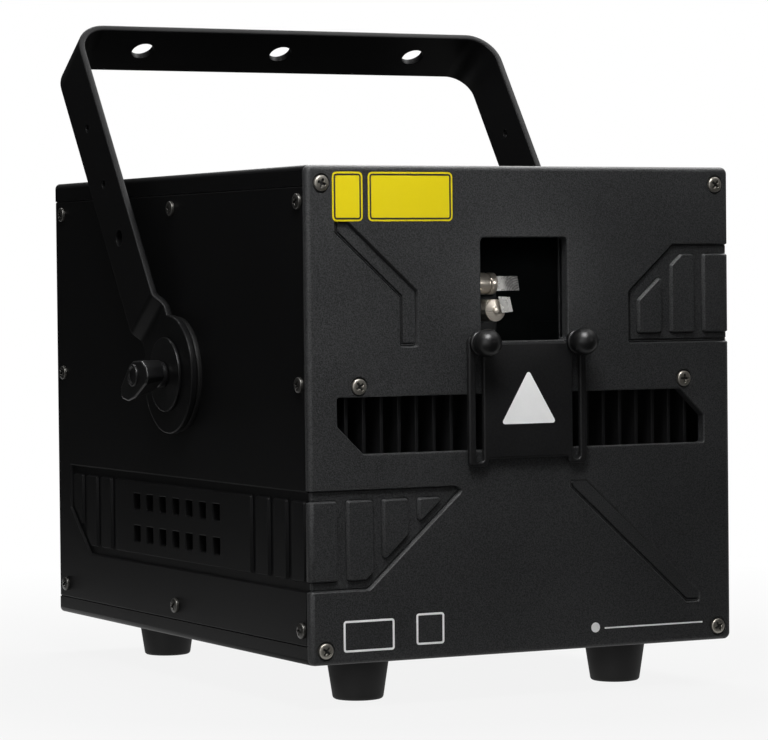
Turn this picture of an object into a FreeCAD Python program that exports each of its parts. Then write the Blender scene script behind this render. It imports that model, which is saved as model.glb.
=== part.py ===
import FreeCAD, Part
import math
import os
import Sketcher

# Laser show projector: a metal case with a sliding aperture shutter, hung in a tilting yoke.
# Millimetres. The front faces -Y, +X is to the viewer's right and the feet stand on Z = 0.

sizes = {
    # Case
    "body_width": 248,
    "body_height": 250,
    "body_depth": 336,
    "foot_height": 23,
    "side_thick": 4,
    "sheet_thick": 2.5,
    "tray_flange": 9.3,
    "cover_flange": 10.4,
    "bend_radius": 3,
    "seam": 0.3,
    # Clearances, and the overrun of cuts
    "fit_gap": 0.1,
    "run_gap": 0.05,
    "move_gap": 0.3,
    "overrun": 2,
    # Front panel
    "lip_thick": 4,
    "plate_thick": 6,
    "rim_depth": 15,
    "rim_wall": 12,
    "front_corner": 3.5,
    "relief_depth": 1.6,
    "aperture_width": 51,
    "aperture_top": 36.6,
    "aperture_height": 52.9,
    "aperture_corner": 2.5,
    "vent_side": 16.2,
    "vent_drop": 26.9,
    "vent_height": 28.6,
    "vent_chamfer_run": 14.6,
    "vent_chamfer_rise": 14.2,
    "relief_slope": 0.9,
    # Upper left channel of the front panel, from the left edge and from the top
    "channel_side": 16.1,
    "channel_reach": 61.8,
    "channel_leg": 9.5,
    "channel_top": 24,
    "channel_end": 9.8,
    "channel_tip": 1.8,
    "channel_knee_left": 66.4,
    "channel_knee_right": 63.5,
    "channel_bottom": 91.3,
    # Lower right channel of the front panel, from the right edge and from the bottom
    "groove_reach": 98,
    "groove_side": 19.7,
    "groove_high": 87.7,
    "groove_low": 21.1,
    "groove_tip": 3.4,
    "groove_head": 9.7,
    "groove_end": 4.9,
    "groove_foot": 8.1,
    # Upper right relief of the front panel and its pads, from the right edge and from the top
    "crest_reach": 61.6,
    "crest_top": 40.7,
    "crest_bottom": 91.7,
    "crest_corner": 24.3,
    "crest_pad_inset": 5.8,
    "crest_pad_drop": 9.7,
    # Lower left relief of the front panel and its pads, level with the side relief
    "band_low": 36.9,
    "band_high": 86.9,
    "band_reach": 86.5,
    "band_tip_drop": 2.2,
    "band_tip_run": 3.3,
    "band_pad_inset": 10.8,
    "pad_pitch": 20.1,
    "pad_width": 14.2,
    "pad_margin": 5,
    # Relief and vent holes of the side panels
    "side_relief_end": 17.4,
    "side_corner_run": 28.7,
    "side_corner_rise": 25,
    "rib_start": 6.5,
    "rib_pitch": 21.3,
    "rib_length": 15.2,
    "rear_rib_reach": 61,
    "vent_hole_width": 9.5,
    "vent_hole_height": 9,
    "vent_hole_pitch": 17.8,
    "vent_hole_inset": 42.6,
    "vent_hole_margin": 30,
    # Screws
    "screw_radius": 2,
    "screw_head_radius": 4,
    "screw_head_height": 2.2,
    "screw_grip": 9,
    "screw_seat": 0.8,
    "front_screw_side": 8.4,
    "front_screw_top": 9.2,
    "front_screw_low": 7.3,
    "vent_screw_inset": 12.2,
    "vent_screw_rise": 5.4,
    "side_screw_front": 9,
    "side_screw_mid": 167,
    "side_screw_low": 17.3,
    "side_screw_middle": 140.3,
    "side_screw_top": 18,
    "rail_screw_end": 45,
    # Rails
    "rail_width": 12,
    "rail_height": 22,
    # Feet
    "foot_side": 47,
    "foot_front": 42,
    "foot_rear": 48,
    "foot_top_radius": 16.5,
    "foot_low_radius": 13,
    "foot_bore_radius": 6,
    "foot_bore_depth": 13,
    "foot_nut_radius": 4,
    "foot_nut_height": 3.2,
    # Window behind the aperture
    "glass_overlap": 4.5,
    "glass_thick": 3,
    "retainer_wall": 5,
    "retainer_thick": 2,
    # Shutter and its knobs
    "shutter_width": 69.4,
    "shutter_height": 59.1,
    "shutter_gap": 0.9,
    "shutter_thick": 3,
    "shutter_arm_width": 11,
    "shutter_arm_reach": 3.7,
    "slot_width": 4.5,
    "slot_wall": 2.2,
    "slot_round_share": 0.45,
    "knob_x": 28.4,
    "knob_drop": 0.7,
    "knob_stud_radius": 2,
    "knob_stud_depth": 5,
    "knob_washer_radius": 6,
    "knob_washer_thick": 0.6,
    "knob_collar_radius": 6.3,
    "knob_collar_thick": 2,
    "knob_ball_radius": 7.2,
    "knob_ball_offset": 11.8,
    # Fins behind the vent window
    "fin_depth": 20,
    "fin_thick": 2,
    "fin_pitch": 10,
    "fin_bar_depth": 6,
    "fin_bar_height": 12,
    # Yoke and its pivots
    "pivot_y": 159.4,
    "pivot_z": 142.7,
    "yoke_lean": 35.4,
    "yoke_thick": 4,
    "yoke_width": 36,
    "yoke_height": 227.8,
    "yoke_disc_radius": 32,
    "yoke_bend": 19,
    "yoke_joggle": 5.1,
    "yoke_joggle_start": 33.5,
    "yoke_joggle_end": 39.6,
    "yoke_hole_radius": 6.5,
    "yoke_hole_side": 48.5,
    "arm_hole_radius": 4.5,
    "arm_hole_height": 91,
    "arm_small_radius": 2.2,
    "arm_small_low": 128,
    "arm_small_high": 167,
    "slip_thick": 2.7,
    "slip_radius": 31,
    "bolt_radius": 5,
    "pivot_block_size": 50,
    "pivot_block_thick": 12,
    "clamp_washer_radius": 20,
    "clamp_washer_thick": 1.8,
    "handle_hub_radius": 7,
    "handle_hub_length": 4,
    "handle_bar_length": 38,
    "handle_bar_height": 15,
    "handle_bar_thick": 13.3,
    "handle_cap_height": 1.5,
    "handle_lean": 33,
    # Optical bench and its posts
    "bench_side": 15,
    "bench_front": 36,
    "bench_rear_gap": 35,
    "bench_drop": 10.5,
    "bench_thick": 8,
    "post_radius": 7,
    "post_side": 8,
    "post_inset": 12,
    # Laser modules and combining mirrors
    "laser_gap": 14,
    "laser_margin": 25,
    "laser_height": 52,
    "laser_inset": 16,
    "laser_fin_height": 8,
    "laser_fin_thick": 2,
    "laser_fin_pitch": 6,
    "nose_radius": 6,
    "nose_length": 8,
    "beam_height": 32,
    "mirror_gap": 40,
    "mirror_place_share": 0.306,
    "mirror_width": 22,
    "mirror_thick": 3,
    "mirror_height": 24,
    "mirror_low": 20,
    "mirror_angle": 45,
    "mount_thick": 6,
    "mount_height": 25,
    # Scanner block, motors and mirrors
    "scan_x": -8,
    "scan_y": 26,
    "scan_upper_rise": 33.5,
    "scan_lower_rise": 15.5,
    "motor_radius": 8,
    "motor_length": 50,
    "block_left": 58,
    "block_right": 6,
    "block_step": 20,
    "block_front": 14,
    "block_shelf": 40,
    "block_rear": 80,
    "block_wall": 12,
    "scan_shaft_radius": 1.5,
    "scan_shaft_seat": 6,
    "scan_collar_radius": 4.8,
    "scan_collar_length": 7,
    "scan_collar_gap": 2,
    "scan_mirror_length": 17,
    "scan_mirror_width": 10,
    "scan_mirror_thick": 1.5,
    "scan_mirror_tilt": 45,
    # Power supply and circuit boards
    "supply_side": 20,
    "supply_right": 10,
    "supply_front": 60,
    "supply_rear_gap": 66,
    "supply_height": 45,
    "supply_wall": 2,
    "supply_slot_width": 5,
    "supply_slot_pitch": 14,
    "supply_slot_inset": 18,
    "supply_slot_end": 25,
    "board_gap": 12,
    "board_side": 22,
    "board_spacing": 15,
    "board_thick": 1.6,
    "board_lift": 8,
    "board_inset": 6,
    "spacer_radius": 3,
    "sink_width": 50,
    "sink_length": 18,
    "sink_height": 28,
    "chip_size": 14,
    "chip_height": 3,
    # Rear panel
    "rear_thick": 8,
    "rear_inset": 7,
    "rear_screw_inset": 6,
    # Fans
    "fan_low": 30,
    "fan_gap": 16.5,
    "fan_middle_gap": 15,
    "fan_depth": 25,
    "fan_wall": 2,
    "fan_screw_inset": 4.25,
    "fan_carrier_step": 1,
    "fan_carrier_thick": 3,
    "fan_strut_width": 5,
    "fan_pin_radius": 2,
    "fan_pin_length": 15,
    "fan_hub_share": 0.2,
    "fan_hub_length": 17,
    "fan_hub_gap": 1,
    "fan_blade_gap": 2,
    "fan_blade_width": 15,
    "fan_blade_thick": 1.6,
    "fan_blade_pitch": 38,
    "guard_wire": 1.8,
    "guard_thick": 1.5,
    "guard_ring_pitch": 9,
    "guard_lug_radius": 5,
    # Control board, display and buttons
    "display_top": 38,
    "display_width": 64,
    "display_height": 26,
    "display_depth": 9,
    "display_border": 4,
    "display_recess": 2,
    "control_side": 12,
    "control_middle_gap": 12,
    "control_top": 12,
    "control_height": 78,
    "control_inset": 4.5,
    "button_top": 72,
    "button_pitch": 18,
    "button_radius": 4.5,
    "button_proud": 2.2,
    "button_flange_radius": 6,
    "button_flange_thick": 1.6,
    "button_travel": 1,
    "switch_size": 6,
    "switch_height": 3.6,
    # Power inlet with its rocker
    "inlet_side": 54,
    "inlet_top": 110,
    "inlet_width": 48,
    "inlet_height": 27,
    "inlet_depth": 24,
    "flange_border": 3,
    "flange_thick": 2,
    "inlet_socket_width": 23,
    "inlet_socket_height": 16,
    "inlet_socket_depth": 15,
    "inlet_socket_inset": 2.5,
    "inlet_pin_width": 2,
    "inlet_pin_height": 4,
    "inlet_pin_length": 11,
    "inlet_pin_spacing": 7,
    "inlet_pin_rise": 2,
    "rocker_width": 13,
    "rocker_height": 20,
    "rocker_depth": 9,
    "rocker_proud": 2.5,
    "rocker_angle": 9,
    "rocker_pin_radius": 1.5,
    "rocker_pin_length": 1.2,
    # Key switch
    "key_x": 4,
    "key_top": 108,
    "key_body_radius": 9.5,
    "key_body_length": 26,
    "key_flange_radius": 12.5,
    "key_barrel_radius": 6,
    "key_barrel_length": 18,
    "key_barrel_proud": 1.5,
    "key_slot_width": 1.6,
    "key_slot_length": 7,
    "key_slot_depth": 8,
    # Round data sockets and the scan signal socket
    "data_side": 46,
    "data_pitch": 40,
    "data_top": 72,
    "data_width": 26,
    "data_height": 31,
    "data_radius": 11.8,
    "data_depth": 20,
    "data_recess_radius": 8.5,
    "data_recess_depth": 14,
    "data_pin_radius": 1.2,
    "data_pin_circle": 4.2,
    "data_pin_length": 11,
    "signal_side": 64,
    "signal_top": 34,
    "signal_width": 39,
    "signal_height": 8.4,
    "signal_depth": 12,
    "signal_ear": 8,
    "signal_recess": 6,
    "signal_wall": 1,
}

side_ribs = 3
crest_pads = 3
band_pads = 4
blade_count = 7
spoke_turn = 45
button_names = ["menu_button_up", "menu_button_down", "menu_button_enter", "menu_button_back"]

doc = FreeCAD.newDocument("LaserProjector")
sheet = doc.addObject("Spreadsheet::Sheet", "Sizes")
for row, (alias, number) in enumerate(sizes.items(), start=1):
    sheet.set(f"A{row}", alias)
    sheet.set(f"B{row}", str(number))
    sheet.setAlias(f"B{row}", alias)
doc.recompute()


class Size:
    # A value of the sheet, or a sum of such values, with the expression that binds it.
    def __init__(self, value, text):
        self.value = value
        self.text = text

    def joined(self, other, sign, value):
        return Size(value, f"({self.text} {sign} {other.text})")

    def __add__(self, other):
        other = sized(other)
        return self.joined(other, "+", self.value + other.value)

    def __sub__(self, other):
        other = sized(other)
        return self.joined(other, "-", self.value - other.value)

    def __mul__(self, other):
        other = sized(other)
        return self.joined(other, "*", self.value * other.value)

    def __truediv__(self, other):
        other = sized(other)
        return self.joined(other, "/", self.value / other.value)

    def __radd__(self, other):
        return sized(other) + self

    def __rsub__(self, other):
        return sized(other) - self

    def __rmul__(self, other):
        return self * other

    def __neg__(self):
        return 0 - self


def sized(number):
    return number if isinstance(number, Size) else Size(float(number), repr(number))


def root(size):
    return Size(math.sqrt(size.value), f"sqrt({size.text})")


def steps(length, pitch):
    # How many whole steps of a pattern a length takes.
    return math.floor(length.value / pitch.value)


class SheetSizes:
    def __getattr__(self, alias):
        return Size(float(sizes[alias]), f"Sizes.{alias}")


s = SheetSizes()
nodes = {}
axes = {"x": FreeCAD.Vector(1, 0, 0), "y": FreeCAD.Vector(0, 1, 0), "z": FreeCAD.Vector(0, 0, 1)}
roles = {"xy": "XY_Plane", "xz": "XZ_Plane", "yz": "YZ_Plane"}


# Building blocks: each returns an object whose sizes and place follow the sheet.

def bind(thing, **properties):
    for name, size in properties.items():
        thing.setExpression(name, sized(size).text)
    return thing


def move(thing, at, turn_axis=None, angle=None):
    if turn_axis:
        thing.Placement = FreeCAD.Placement(FreeCAD.Vector(), FreeCAD.Rotation(axes[turn_axis], 1))
        thing.setExpression("Placement.Rotation.Angle", sized(angle).text)
    for key, size in zip("xyz", at):
        thing.setExpression(f"Placement.Base.{key}", sized(size).text)
    return thing


def block(x, y, z):
    box = doc.addObject("Part::Box", "block")
    bind(box, Length=x[1] - x[0], Width=y[1] - y[0], Height=z[1] - z[0])
    return move(box, (x[0], y[0], z[0]))


def around(middle, reach):
    return middle - reach, middle + reach


def along(axis, start, centre):
    spots = {"x": (start, *centre), "y": (centre[0], start, centre[1]), "z": (*centre, start)}
    return spots[axis]


def rod(axis, start, end, centre, radius):
    cylinder = doc.addObject("Part::Cylinder", "rod")
    cylinder.Placement.Rotation = FreeCAD.Rotation(axes["z"], axes[axis])
    bind(cylinder, Radius=radius, Height=end - start)
    return move(cylinder, along(axis, start, centre))


def fuse(*things):
    joined = doc.addObject("Part::MultiFuse", "joined")
    joined.Shapes = list(things)
    return joined


def cut(base, *tools):
    carved = doc.addObject("Part::Cut", "carved")
    carved.Base = base
    carved.Tool = fuse(*tools) if len(tools) > 1 else tools[0]
    return carved


def common(first, second):
    shared = doc.addObject("Part::Common", "shared")
    shared.Base = first
    shared.Tool = second
    return shared


def group(*things):
    gathered = doc.addObject("Part::Compound", "gathered")
    gathered.Links = list(things)
    return gathered


def node(label, thing):
    thing.Label = label
    nodes[label] = thing
    return thing


# Outlines for sketches: polygons whose square corners may be rounded, and circles.

def polygon(points, rounds=None):
    return {"points": points, "rounds": rounds or {}}


def rectangle(x0, x1, y0, y1, radius=None):
    corners = [(x0, y0), (x1, y0), (x1, y1), (x0, y1)]
    return polygon(corners, {index: radius for index in range(4)} if radius else None)


def circle(centre, radius):
    return {"centre": centre, "radius": radius}


def pin(sketch, geometry, end, point):
    for kind, size in zip(("DistanceX", "DistanceY"), map(sized, point)):
        rule = sketch.addConstraint(Sketcher.Constraint(kind, -1, 1, geometry, end, size.value))
        sketch.setExpression(f"Constraints[{rule}]", size.text)


def spot(point):
    return FreeCAD.Vector(sized(point[0]).value, sized(point[1]).value, 0)


def heading(start, end):
    step = spot(end) - spot(start)
    return [round(part / step.Length) for part in (step.x, step.y)]


def rounded_corner(before, corner, after, radius):
    back, ahead = heading(corner, before), heading(corner, after)
    first = tuple(corner[i] + radius * back[i] for i in range(2))
    last = tuple(corner[i] + radius * ahead[i] for i in range(2))
    centre = [corner[i] + radius * (back[i] + ahead[i]) for i in range(2)]
    outward = spot(corner) - spot(centre)
    middle = spot(centre) + outward * (radius.value / outward.Length)
    return first, last, middle


def draw_polygon(sketch, outline):
    points, rounds = outline["points"], outline["rounds"]
    count = len(points)
    start = sketch.GeometryCount
    ends = []
    for index, corner in enumerate(points):
        if index in rounds:
            radius = rounds[index]
            before, after = points[index - 1], points[(index + 1) % count]
            first, last, middle = rounded_corner(before, corner, after, radius)
            ends += [(first, (radius, middle)), (last, None)]
        else:
            ends.append((corner, None))
    total = len(ends)
    for index, (point, bend) in enumerate(ends):
        target = ends[(index + 1) % total][0]
        if bend:
            sketch.addGeometry(Part.Arc(spot(point), bend[1], spot(target)))
        else:
            sketch.addGeometry(Part.LineSegment(spot(point), spot(target)))
    for index, (point, bend) in enumerate(ends):
        here, following = start + index, start + (index + 1) % total
        here_end = arc_end(sketch, here, ends[(index + 1) % total][0])
        next_start = arc_end(sketch, following, ends[(index + 1) % total][0])
        sketch.addConstraint(Sketcher.Constraint("Coincident", here, here_end, following, next_start))
    for index, (point, bend) in enumerate(ends):
        here = start + index
        if bend:
            rule = sketch.addConstraint(Sketcher.Constraint("Radius", here, bend[0].value))
            sketch.setExpression(f"Constraints[{rule}]", bend[0].text)
        pin(sketch, here, arc_end(sketch, here, point), point)


def arc_end(sketch, geometry, point):
    # An arc runs anticlockwise, so its first point may be its end.
    return min((1, 2), key=lambda end: sketch.getPoint(geometry, end).distanceToPoint(spot(point)))


def draw(sketch, outlines):
    for outline in outlines:
        if "centre" in outline:
            middle, radius = outline["centre"], sized(outline["radius"])
            ring = sketch.addGeometry(Part.Circle(spot(middle), axes["z"], radius.value))
            rule = sketch.addConstraint(Sketcher.Constraint("Radius", ring, radius.value))
            sketch.setExpression(f"Constraints[{rule}]", radius.text)
            pin(sketch, ring, 3, middle)
        else:
            draw_polygon(sketch, outline)


# Bodies made of pads and pockets. A plane's level is its place on the axis across it.

def new_body(label):
    body = doc.addObject("PartDesign::Body", label)
    return node(label, body)


def sketch_on(body, plane, level, outlines):
    sketch = body.newObject("Sketcher::SketchObject", "outline")
    support = next(part for part in body.Origin.OriginFeatures if part.Role == roles[plane])
    sketch.AttachmentSupport = [(support, "")]
    sketch.MapMode = "FlatFace"
    facing = -1 if plane == "xz" else 1
    sketch.setExpression("AttachmentOffset.Base.z", (facing * sized(level)).text)
    draw(sketch, outlines)
    return sketch


def pad(body, plane, start, end, outlines):
    feature = body.newObject("PartDesign::Pad", "pad")
    feature.Profile = sketch_on(body, plane, start, outlines)
    feature.Reversed = plane == "xz"
    return bind(feature, Length=end - start)


def pocket(body, plane, level, depth, outlines, towards=1):
    feature = body.newObject("PartDesign::Pocket", "pocket")
    feature.Profile = sketch_on(body, plane, level, outlines)
    feature.Reversed = (towards > 0) != (plane == "xz")
    return bind(feature, Length=depth)


# Main levels of the case

half = s.body_width / 2
inner = half - s.side_thick
low = s.foot_height
high = low + s.body_height
floor = low + s.sheet_thick
ceiling = high - s.sheet_thick
front = (s.knob_ball_offset + s.knob_ball_radius - s.body_depth) / 2
rear = front + s.body_depth
plate_back = front + s.plate_thick
rim_back = front + s.rim_depth
rear_face = rear - s.rear_inset
rear_back = rear_face - s.rear_thick
pivot = (front + s.pivot_y, low + s.pivot_z)
aperture_high = high - s.aperture_top
aperture_low = aperture_high - s.aperture_height
vent_high = aperture_low - s.vent_drop
vent_low = vent_high - s.vent_height
vent_half = half - s.vent_side
bench_half = inner - s.bench_side
bench_end = rear_back - s.bench_rear_gap
bench_top = aperture_low - s.bench_drop
inlet_z = high - s.inlet_top
fan_low = low + s.fan_low
fan_size = inlet_z - s.inlet_height / 2 - s.fan_gap - fan_low
fan_x = s.fan_middle_gap + fan_size / 2
fan_z = fan_low + fan_size / 2
fan_bore = fan_size / 2 - s.fan_wall
fan_hub = fan_size * s.fan_hub_share
control_ends = (s.control_side - inner, -s.control_middle_gap)
display_x = (control_ends[0] + control_ends[1]) / 2
hole_radius = s.screw_radius + s.fit_gap
bolt_bore = s.bolt_radius + s.run_gap

front_screws = [(side * (half - s.front_screw_side), z)
                for side in (-1, 1) for z in (low + s.front_screw_low, high - s.front_screw_top)]
vent_screws = [(side * (vent_half - s.vent_screw_inset), vent_high + s.vent_screw_rise) for side in (-1, 1)]
side_rows = [low + s.side_screw_low, low + s.side_screw_middle, high - s.side_screw_top]
side_ends = [front + s.side_screw_front, rear_face - s.rear_thick / 2]
side_screws = [(y, z) for y in side_ends for z in side_rows]
rail_side_screws = [(front + s.side_screw_mid, z) for z in (side_rows[0], side_rows[2])]
rail_ends = [rim_back + s.rail_screw_end, rear_back - s.rail_screw_end]
rail_x = inner - s.rail_width / 2
rail_screws = [(side * rail_x, y) for side in (-1, 1)
               for y in (rail_ends[0], front + s.side_screw_mid, rail_ends[1])]
rear_screws = [(side * rail_x, z) for side in (-1, 1)
               for z in (floor + s.rear_screw_inset, ceiling - s.rear_screw_inset)]
feet = [(side * (half - s.foot_side), y)
        for side in (-1, 1) for y in (front + s.foot_front, rear - s.foot_rear)]
knobs = {"left": -s.knob_x, "right": s.knob_x}
knob_z = aperture_low - s.knob_drop


def screw(axis, out, seat, centre, length):
    # A pan-headed screw: the head stands outwards of its seat and the shank goes inwards.
    if out > 0:
        head = rod(axis, seat, seat + s.screw_head_height, centre, s.screw_head_radius)
        shank = rod(axis, seat - length, seat, centre, s.screw_radius)
    else:
        head = rod(axis, seat - s.screw_head_height, seat, centre, s.screw_head_radius)
        shank = rod(axis, seat, seat + length, centre, s.screw_radius)
    return fuse(head, shank)


def make_front_panel():
    panel = new_body("front_panel")
    fit_half, fit_low, fit_high = inner - s.fit_gap, floor + s.fit_gap, ceiling - s.fit_gap
    pad(panel, "xz", front, front + s.lip_thick, [rectangle(-half, half, low, high, s.front_corner)])
    pad(panel, "xz", front + s.lip_thick, plate_back, [rectangle(-fit_half, fit_half, fit_low, fit_high)])
    opening = rectangle(-fit_half + s.rim_wall, fit_half - s.rim_wall,
                        fit_low + s.rim_wall, fit_high - s.rim_wall)
    pad(panel, "xz", plate_back, rim_back, [rectangle(-fit_half, fit_half, fit_low, fit_high), opening])
    aperture = rectangle(-s.aperture_width / 2, s.aperture_width / 2,
                         aperture_low, aperture_high, s.aperture_corner)
    vent = polygon([
        (-vent_half, vent_high),
        (-vent_half, vent_low + s.vent_chamfer_rise),
        (-vent_half + s.vent_chamfer_run, vent_low),
        (vent_half, vent_low),
        (vent_half, vent_high - s.vent_chamfer_rise),
        (vent_half - s.vent_chamfer_run, vent_high)])
    studs = [circle((x, knob_z), s.knob_stud_radius + s.run_gap) for x in knobs.values()]
    pocket(panel, "xz", front, s.plate_thick, [aperture, vent, *studs])
    pocket(panel, "xz", front, s.relief_depth, [upper_channel(), lower_channel(), *crest(), *band()])
    notches = [rectangle(*around(side * half, s.relief_depth), low + s.band_low, low + s.band_high)
               for side in (-1, 1)]
    pocket(panel, "xz", front - s.overrun, s.lip_thick + s.overrun, notches)
    places = front_screws + vent_screws
    seat_radius = s.screw_head_radius + s.screw_seat
    pocket(panel, "xz", front, s.screw_seat, [circle(place, seat_radius) for place in places])
    pocket(panel, "xz", front, s.rim_depth, [circle(place, hole_radius) for place in places])
    edge_holes = [circle(place, hole_radius) for place in side_screws if place[0] is side_ends[0]]
    pocket(panel, "yz", -fit_half, s.rim_wall + s.overrun, edge_holes)
    pocket(panel, "yz", fit_half, s.rim_wall + s.overrun, edge_holes, towards=-1)


def upper_channel():
    left, right = s.channel_side - half, s.channel_reach - half
    top, bottom = high - s.channel_top, high - s.channel_bottom
    return polygon([
        (left, top),
        (left, top - s.channel_end),
        (right - s.channel_leg, high - s.channel_knee_left),
        (right - s.channel_leg, bottom),
        (right, bottom),
        (right, high - s.channel_knee_right),
        (left + s.channel_tip, top)])


def lower_channel():
    left, right = half - s.groove_reach, half - s.groove_side
    top, bottom = low + s.groove_high, low + s.groove_low
    return polygon([
        (left, top),
        (left, top - s.groove_tip),
        (right - s.groove_foot, bottom),
        (right, bottom),
        (right, bottom + s.groove_end),
        (left + s.groove_head, top)])


def crest():
    # Relief open to the right edge, with raised pads under its slanted end.
    edge, past = half + s.overrun, half + s.overrun / 2
    left, bottom, top = half - s.crest_reach, high - s.crest_bottom, high - s.crest_top
    knee = top - s.crest_corner
    outlines = [polygon([
        (edge, bottom), (left, bottom), (left, knee),
        (left + s.crest_corner / s.relief_slope, top), (edge, top)])]
    pad_low, pad_high = bottom + s.pad_margin, top - s.pad_margin
    for index in range(crest_pads):
        x0 = left + s.crest_pad_inset + index * s.pad_pitch
        x1 = x0 + s.pad_width if index < crest_pads - 1 else past
        slant = knee + (x0 - left) * s.relief_slope - s.crest_pad_drop
        reach = slant + s.pad_width * s.relief_slope
        points = [(x0, pad_low), (x1, pad_low)]
        if reach.value < pad_high.value:
            points += [(x1, reach), (x0, slant)]
        elif slant.value < pad_high.value:
            points += [(x1, pad_high), (x0 + (pad_high - slant) / s.relief_slope, pad_high), (x0, slant)]
        else:
            points += [(x1, pad_high), (x0, pad_high)]
        outlines.append(polygon(points))
    return outlines


def band():
    # Relief open to the left edge, with raised pads that a slanted line cuts short.
    edge, past = -half - s.overrun, -half - s.overrun / 2
    tip = s.band_reach - half
    tip_z = s.band_high - s.band_tip_drop
    run = (tip_z - s.band_low) / s.relief_slope
    outlines = [polygon([
        (edge, low + s.band_low), (tip - run, low + s.band_low), (tip, low + tip_z),
        (tip - s.band_tip_run, low + s.band_high), (edge, low + s.band_high)])]
    pad_low = low + s.band_low + s.pad_margin
    pad_high = low + s.band_high - s.pad_margin
    for index in range(band_pads):
        x1 = tip - s.band_pad_inset - index * s.pad_pitch
        x0 = x1 - s.pad_width if index < band_pads - 1 else past
        right_z = pad_high - index * s.pad_pitch * s.relief_slope
        left_z = right_z - s.pad_width * s.relief_slope
        points = [(x0, pad_high)]
        if left_z.value > pad_low.value:
            points.append((x0, left_z))
        elif right_z.value > pad_low.value:
            points += [(x0, pad_low), (x1 - (right_z - pad_low) / s.relief_slope, pad_low)]
        else:
            points += [(x0, pad_low), (x1, pad_low), (x1, pad_high)]
        if right_z.value > pad_low.value:
            points.append((x1, right_z))
            if index:
                points.append((x1, pad_high))
        outlines.append(polygon(points))
    return outlines


def long_pad():
    # Ends of the plain pad between the ribs of a side panel's relief, and where the rear ribs start.
    rear_rib = rear - s.side_relief_end - s.rear_rib_reach
    start = front + s.rib_start + side_ribs * s.rib_pitch
    return start, rear_rib - (s.rib_pitch - s.rib_length), rear_rib


def side_relief():
    # Relief that runs back from the front edge, with ribs at both ends of one long pad.
    edge = front + s.lip_thick
    end = rear - s.side_relief_end
    low_z, high_z = low + s.band_low, low + s.band_high
    slope = s.side_corner_rise / s.side_corner_run
    corner = end - s.side_corner_run
    outlines = [polygon([
        (edge, low_z), (corner, low_z), (end, low_z + s.side_corner_rise), (end, high_z), (edge, high_z)])]
    pad_low, pad_high = low_z + s.pad_margin, high_z - s.pad_margin
    pad_start, pad_end, rear_rib = long_pad()
    for index in range(side_ribs):
        start = front + s.rib_start + index * s.rib_pitch
        outlines.append(rectangle(start, start + s.rib_length, pad_low, pad_high))
    outlines.append(rectangle(pad_start, pad_end, pad_low, pad_high))
    for index in range(side_ribs - 1):
        start = rear_rib + index * s.rib_pitch
        outlines.append(rectangle(start, start + s.rib_length, pad_low, pad_high))
    start, stop = rear_rib + (side_ribs - 1) * s.rib_pitch, end - s.pad_margin
    lift = s.pad_margin * root(1 + slope * slope)
    slant = [(y, low_z + (y - corner) * slope + lift) for y in (start, stop)]
    outlines.append(polygon([*slant, (stop, pad_high), (start, pad_high)]))
    return outlines


def make_side_panel(label, side):
    panel = new_body(label)
    outer = side * half
    x0, x1 = (outer, -inner) if side < 0 else (inner, outer)
    outline = rectangle(front + s.lip_thick + s.seam, rear,
                        low + s.tray_flange + s.seam, high - s.cover_flange - s.seam)
    pad(panel, "yz", x0, x1, [outline])
    pocket(panel, "yz", outer, s.relief_depth, side_relief(), towards=-side)
    holes = [circle(place, hole_radius) for place in side_screws + rail_side_screws]
    holes.append(circle(pivot, bolt_bore))
    pad_start, pad_end, _ = long_pad()
    start = pad_start + s.vent_hole_inset
    rows_middle = low + (s.band_low + s.band_high) / 2
    for column in range(steps(pad_end - s.vent_hole_margin - start, s.vent_hole_pitch) + 1):
        for row in (-1, 1):
            y = start + column * s.vent_hole_pitch
            z = rows_middle + row * s.vent_hole_pitch / 2
            holes.append(rectangle(*around(y, s.vent_hole_width / 2), *around(z, s.vent_hole_height / 2)))
    pocket(panel, "yz", outer, s.side_thick, holes, towards=-side)


def make_sheet(label, level, towards, flange, holes):
    # A sheet with a flange bent along each side: the floor tray and the top cover.
    sheet_body = new_body(label)
    tip = level + towards * flange
    flat = level + towards * s.sheet_thick
    web = half - s.sheet_thick
    profile = polygon([(-half, tip), (-half, level), (half, level), (half, tip),
                       (web, tip), (web, flat), (-web, flat), (-web, tip)],
                      {1: s.bend_radius, 2: s.bend_radius})
    pad(sheet_body, "xz", front + s.lip_thick + s.seam, rear, [profile])
    pocket(sheet_body, "xy", level, s.sheet_thick, holes, towards=towards)


def make_rails():
    rails = []
    for side in (-1, 1):
        x = (-inner, -inner + s.rail_width) if side < 0 else (inner - s.rail_width, inner)
        for z in ((floor, floor + s.rail_height), (ceiling - s.rail_height, ceiling)):
            rails.append(block(x, (rim_back, rear_back), z))
    reach = s.screw_grip + s.overrun
    holes = [rod("y", rim_back, rim_back + reach, place, hole_radius) for place in front_screws]
    holes += [rod("y", rear_back - reach, rear_back, place, hole_radius) for place in rear_screws]
    depth = s.screw_grip + s.overrun / 2
    for place in rail_side_screws:
        holes.append(rod("x", -inner, -inner + depth, place, hole_radius))
        holes.append(rod("x", inner - depth, inner, place, hole_radius))
    for place in rail_screws:
        holes.append(rod("z", floor, floor + depth, place, hole_radius))
        holes.append(rod("z", ceiling - depth, ceiling, place, hole_radius))
    node("frame_rails", group(*[cut(rail, *holes) for rail in rails]))


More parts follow.
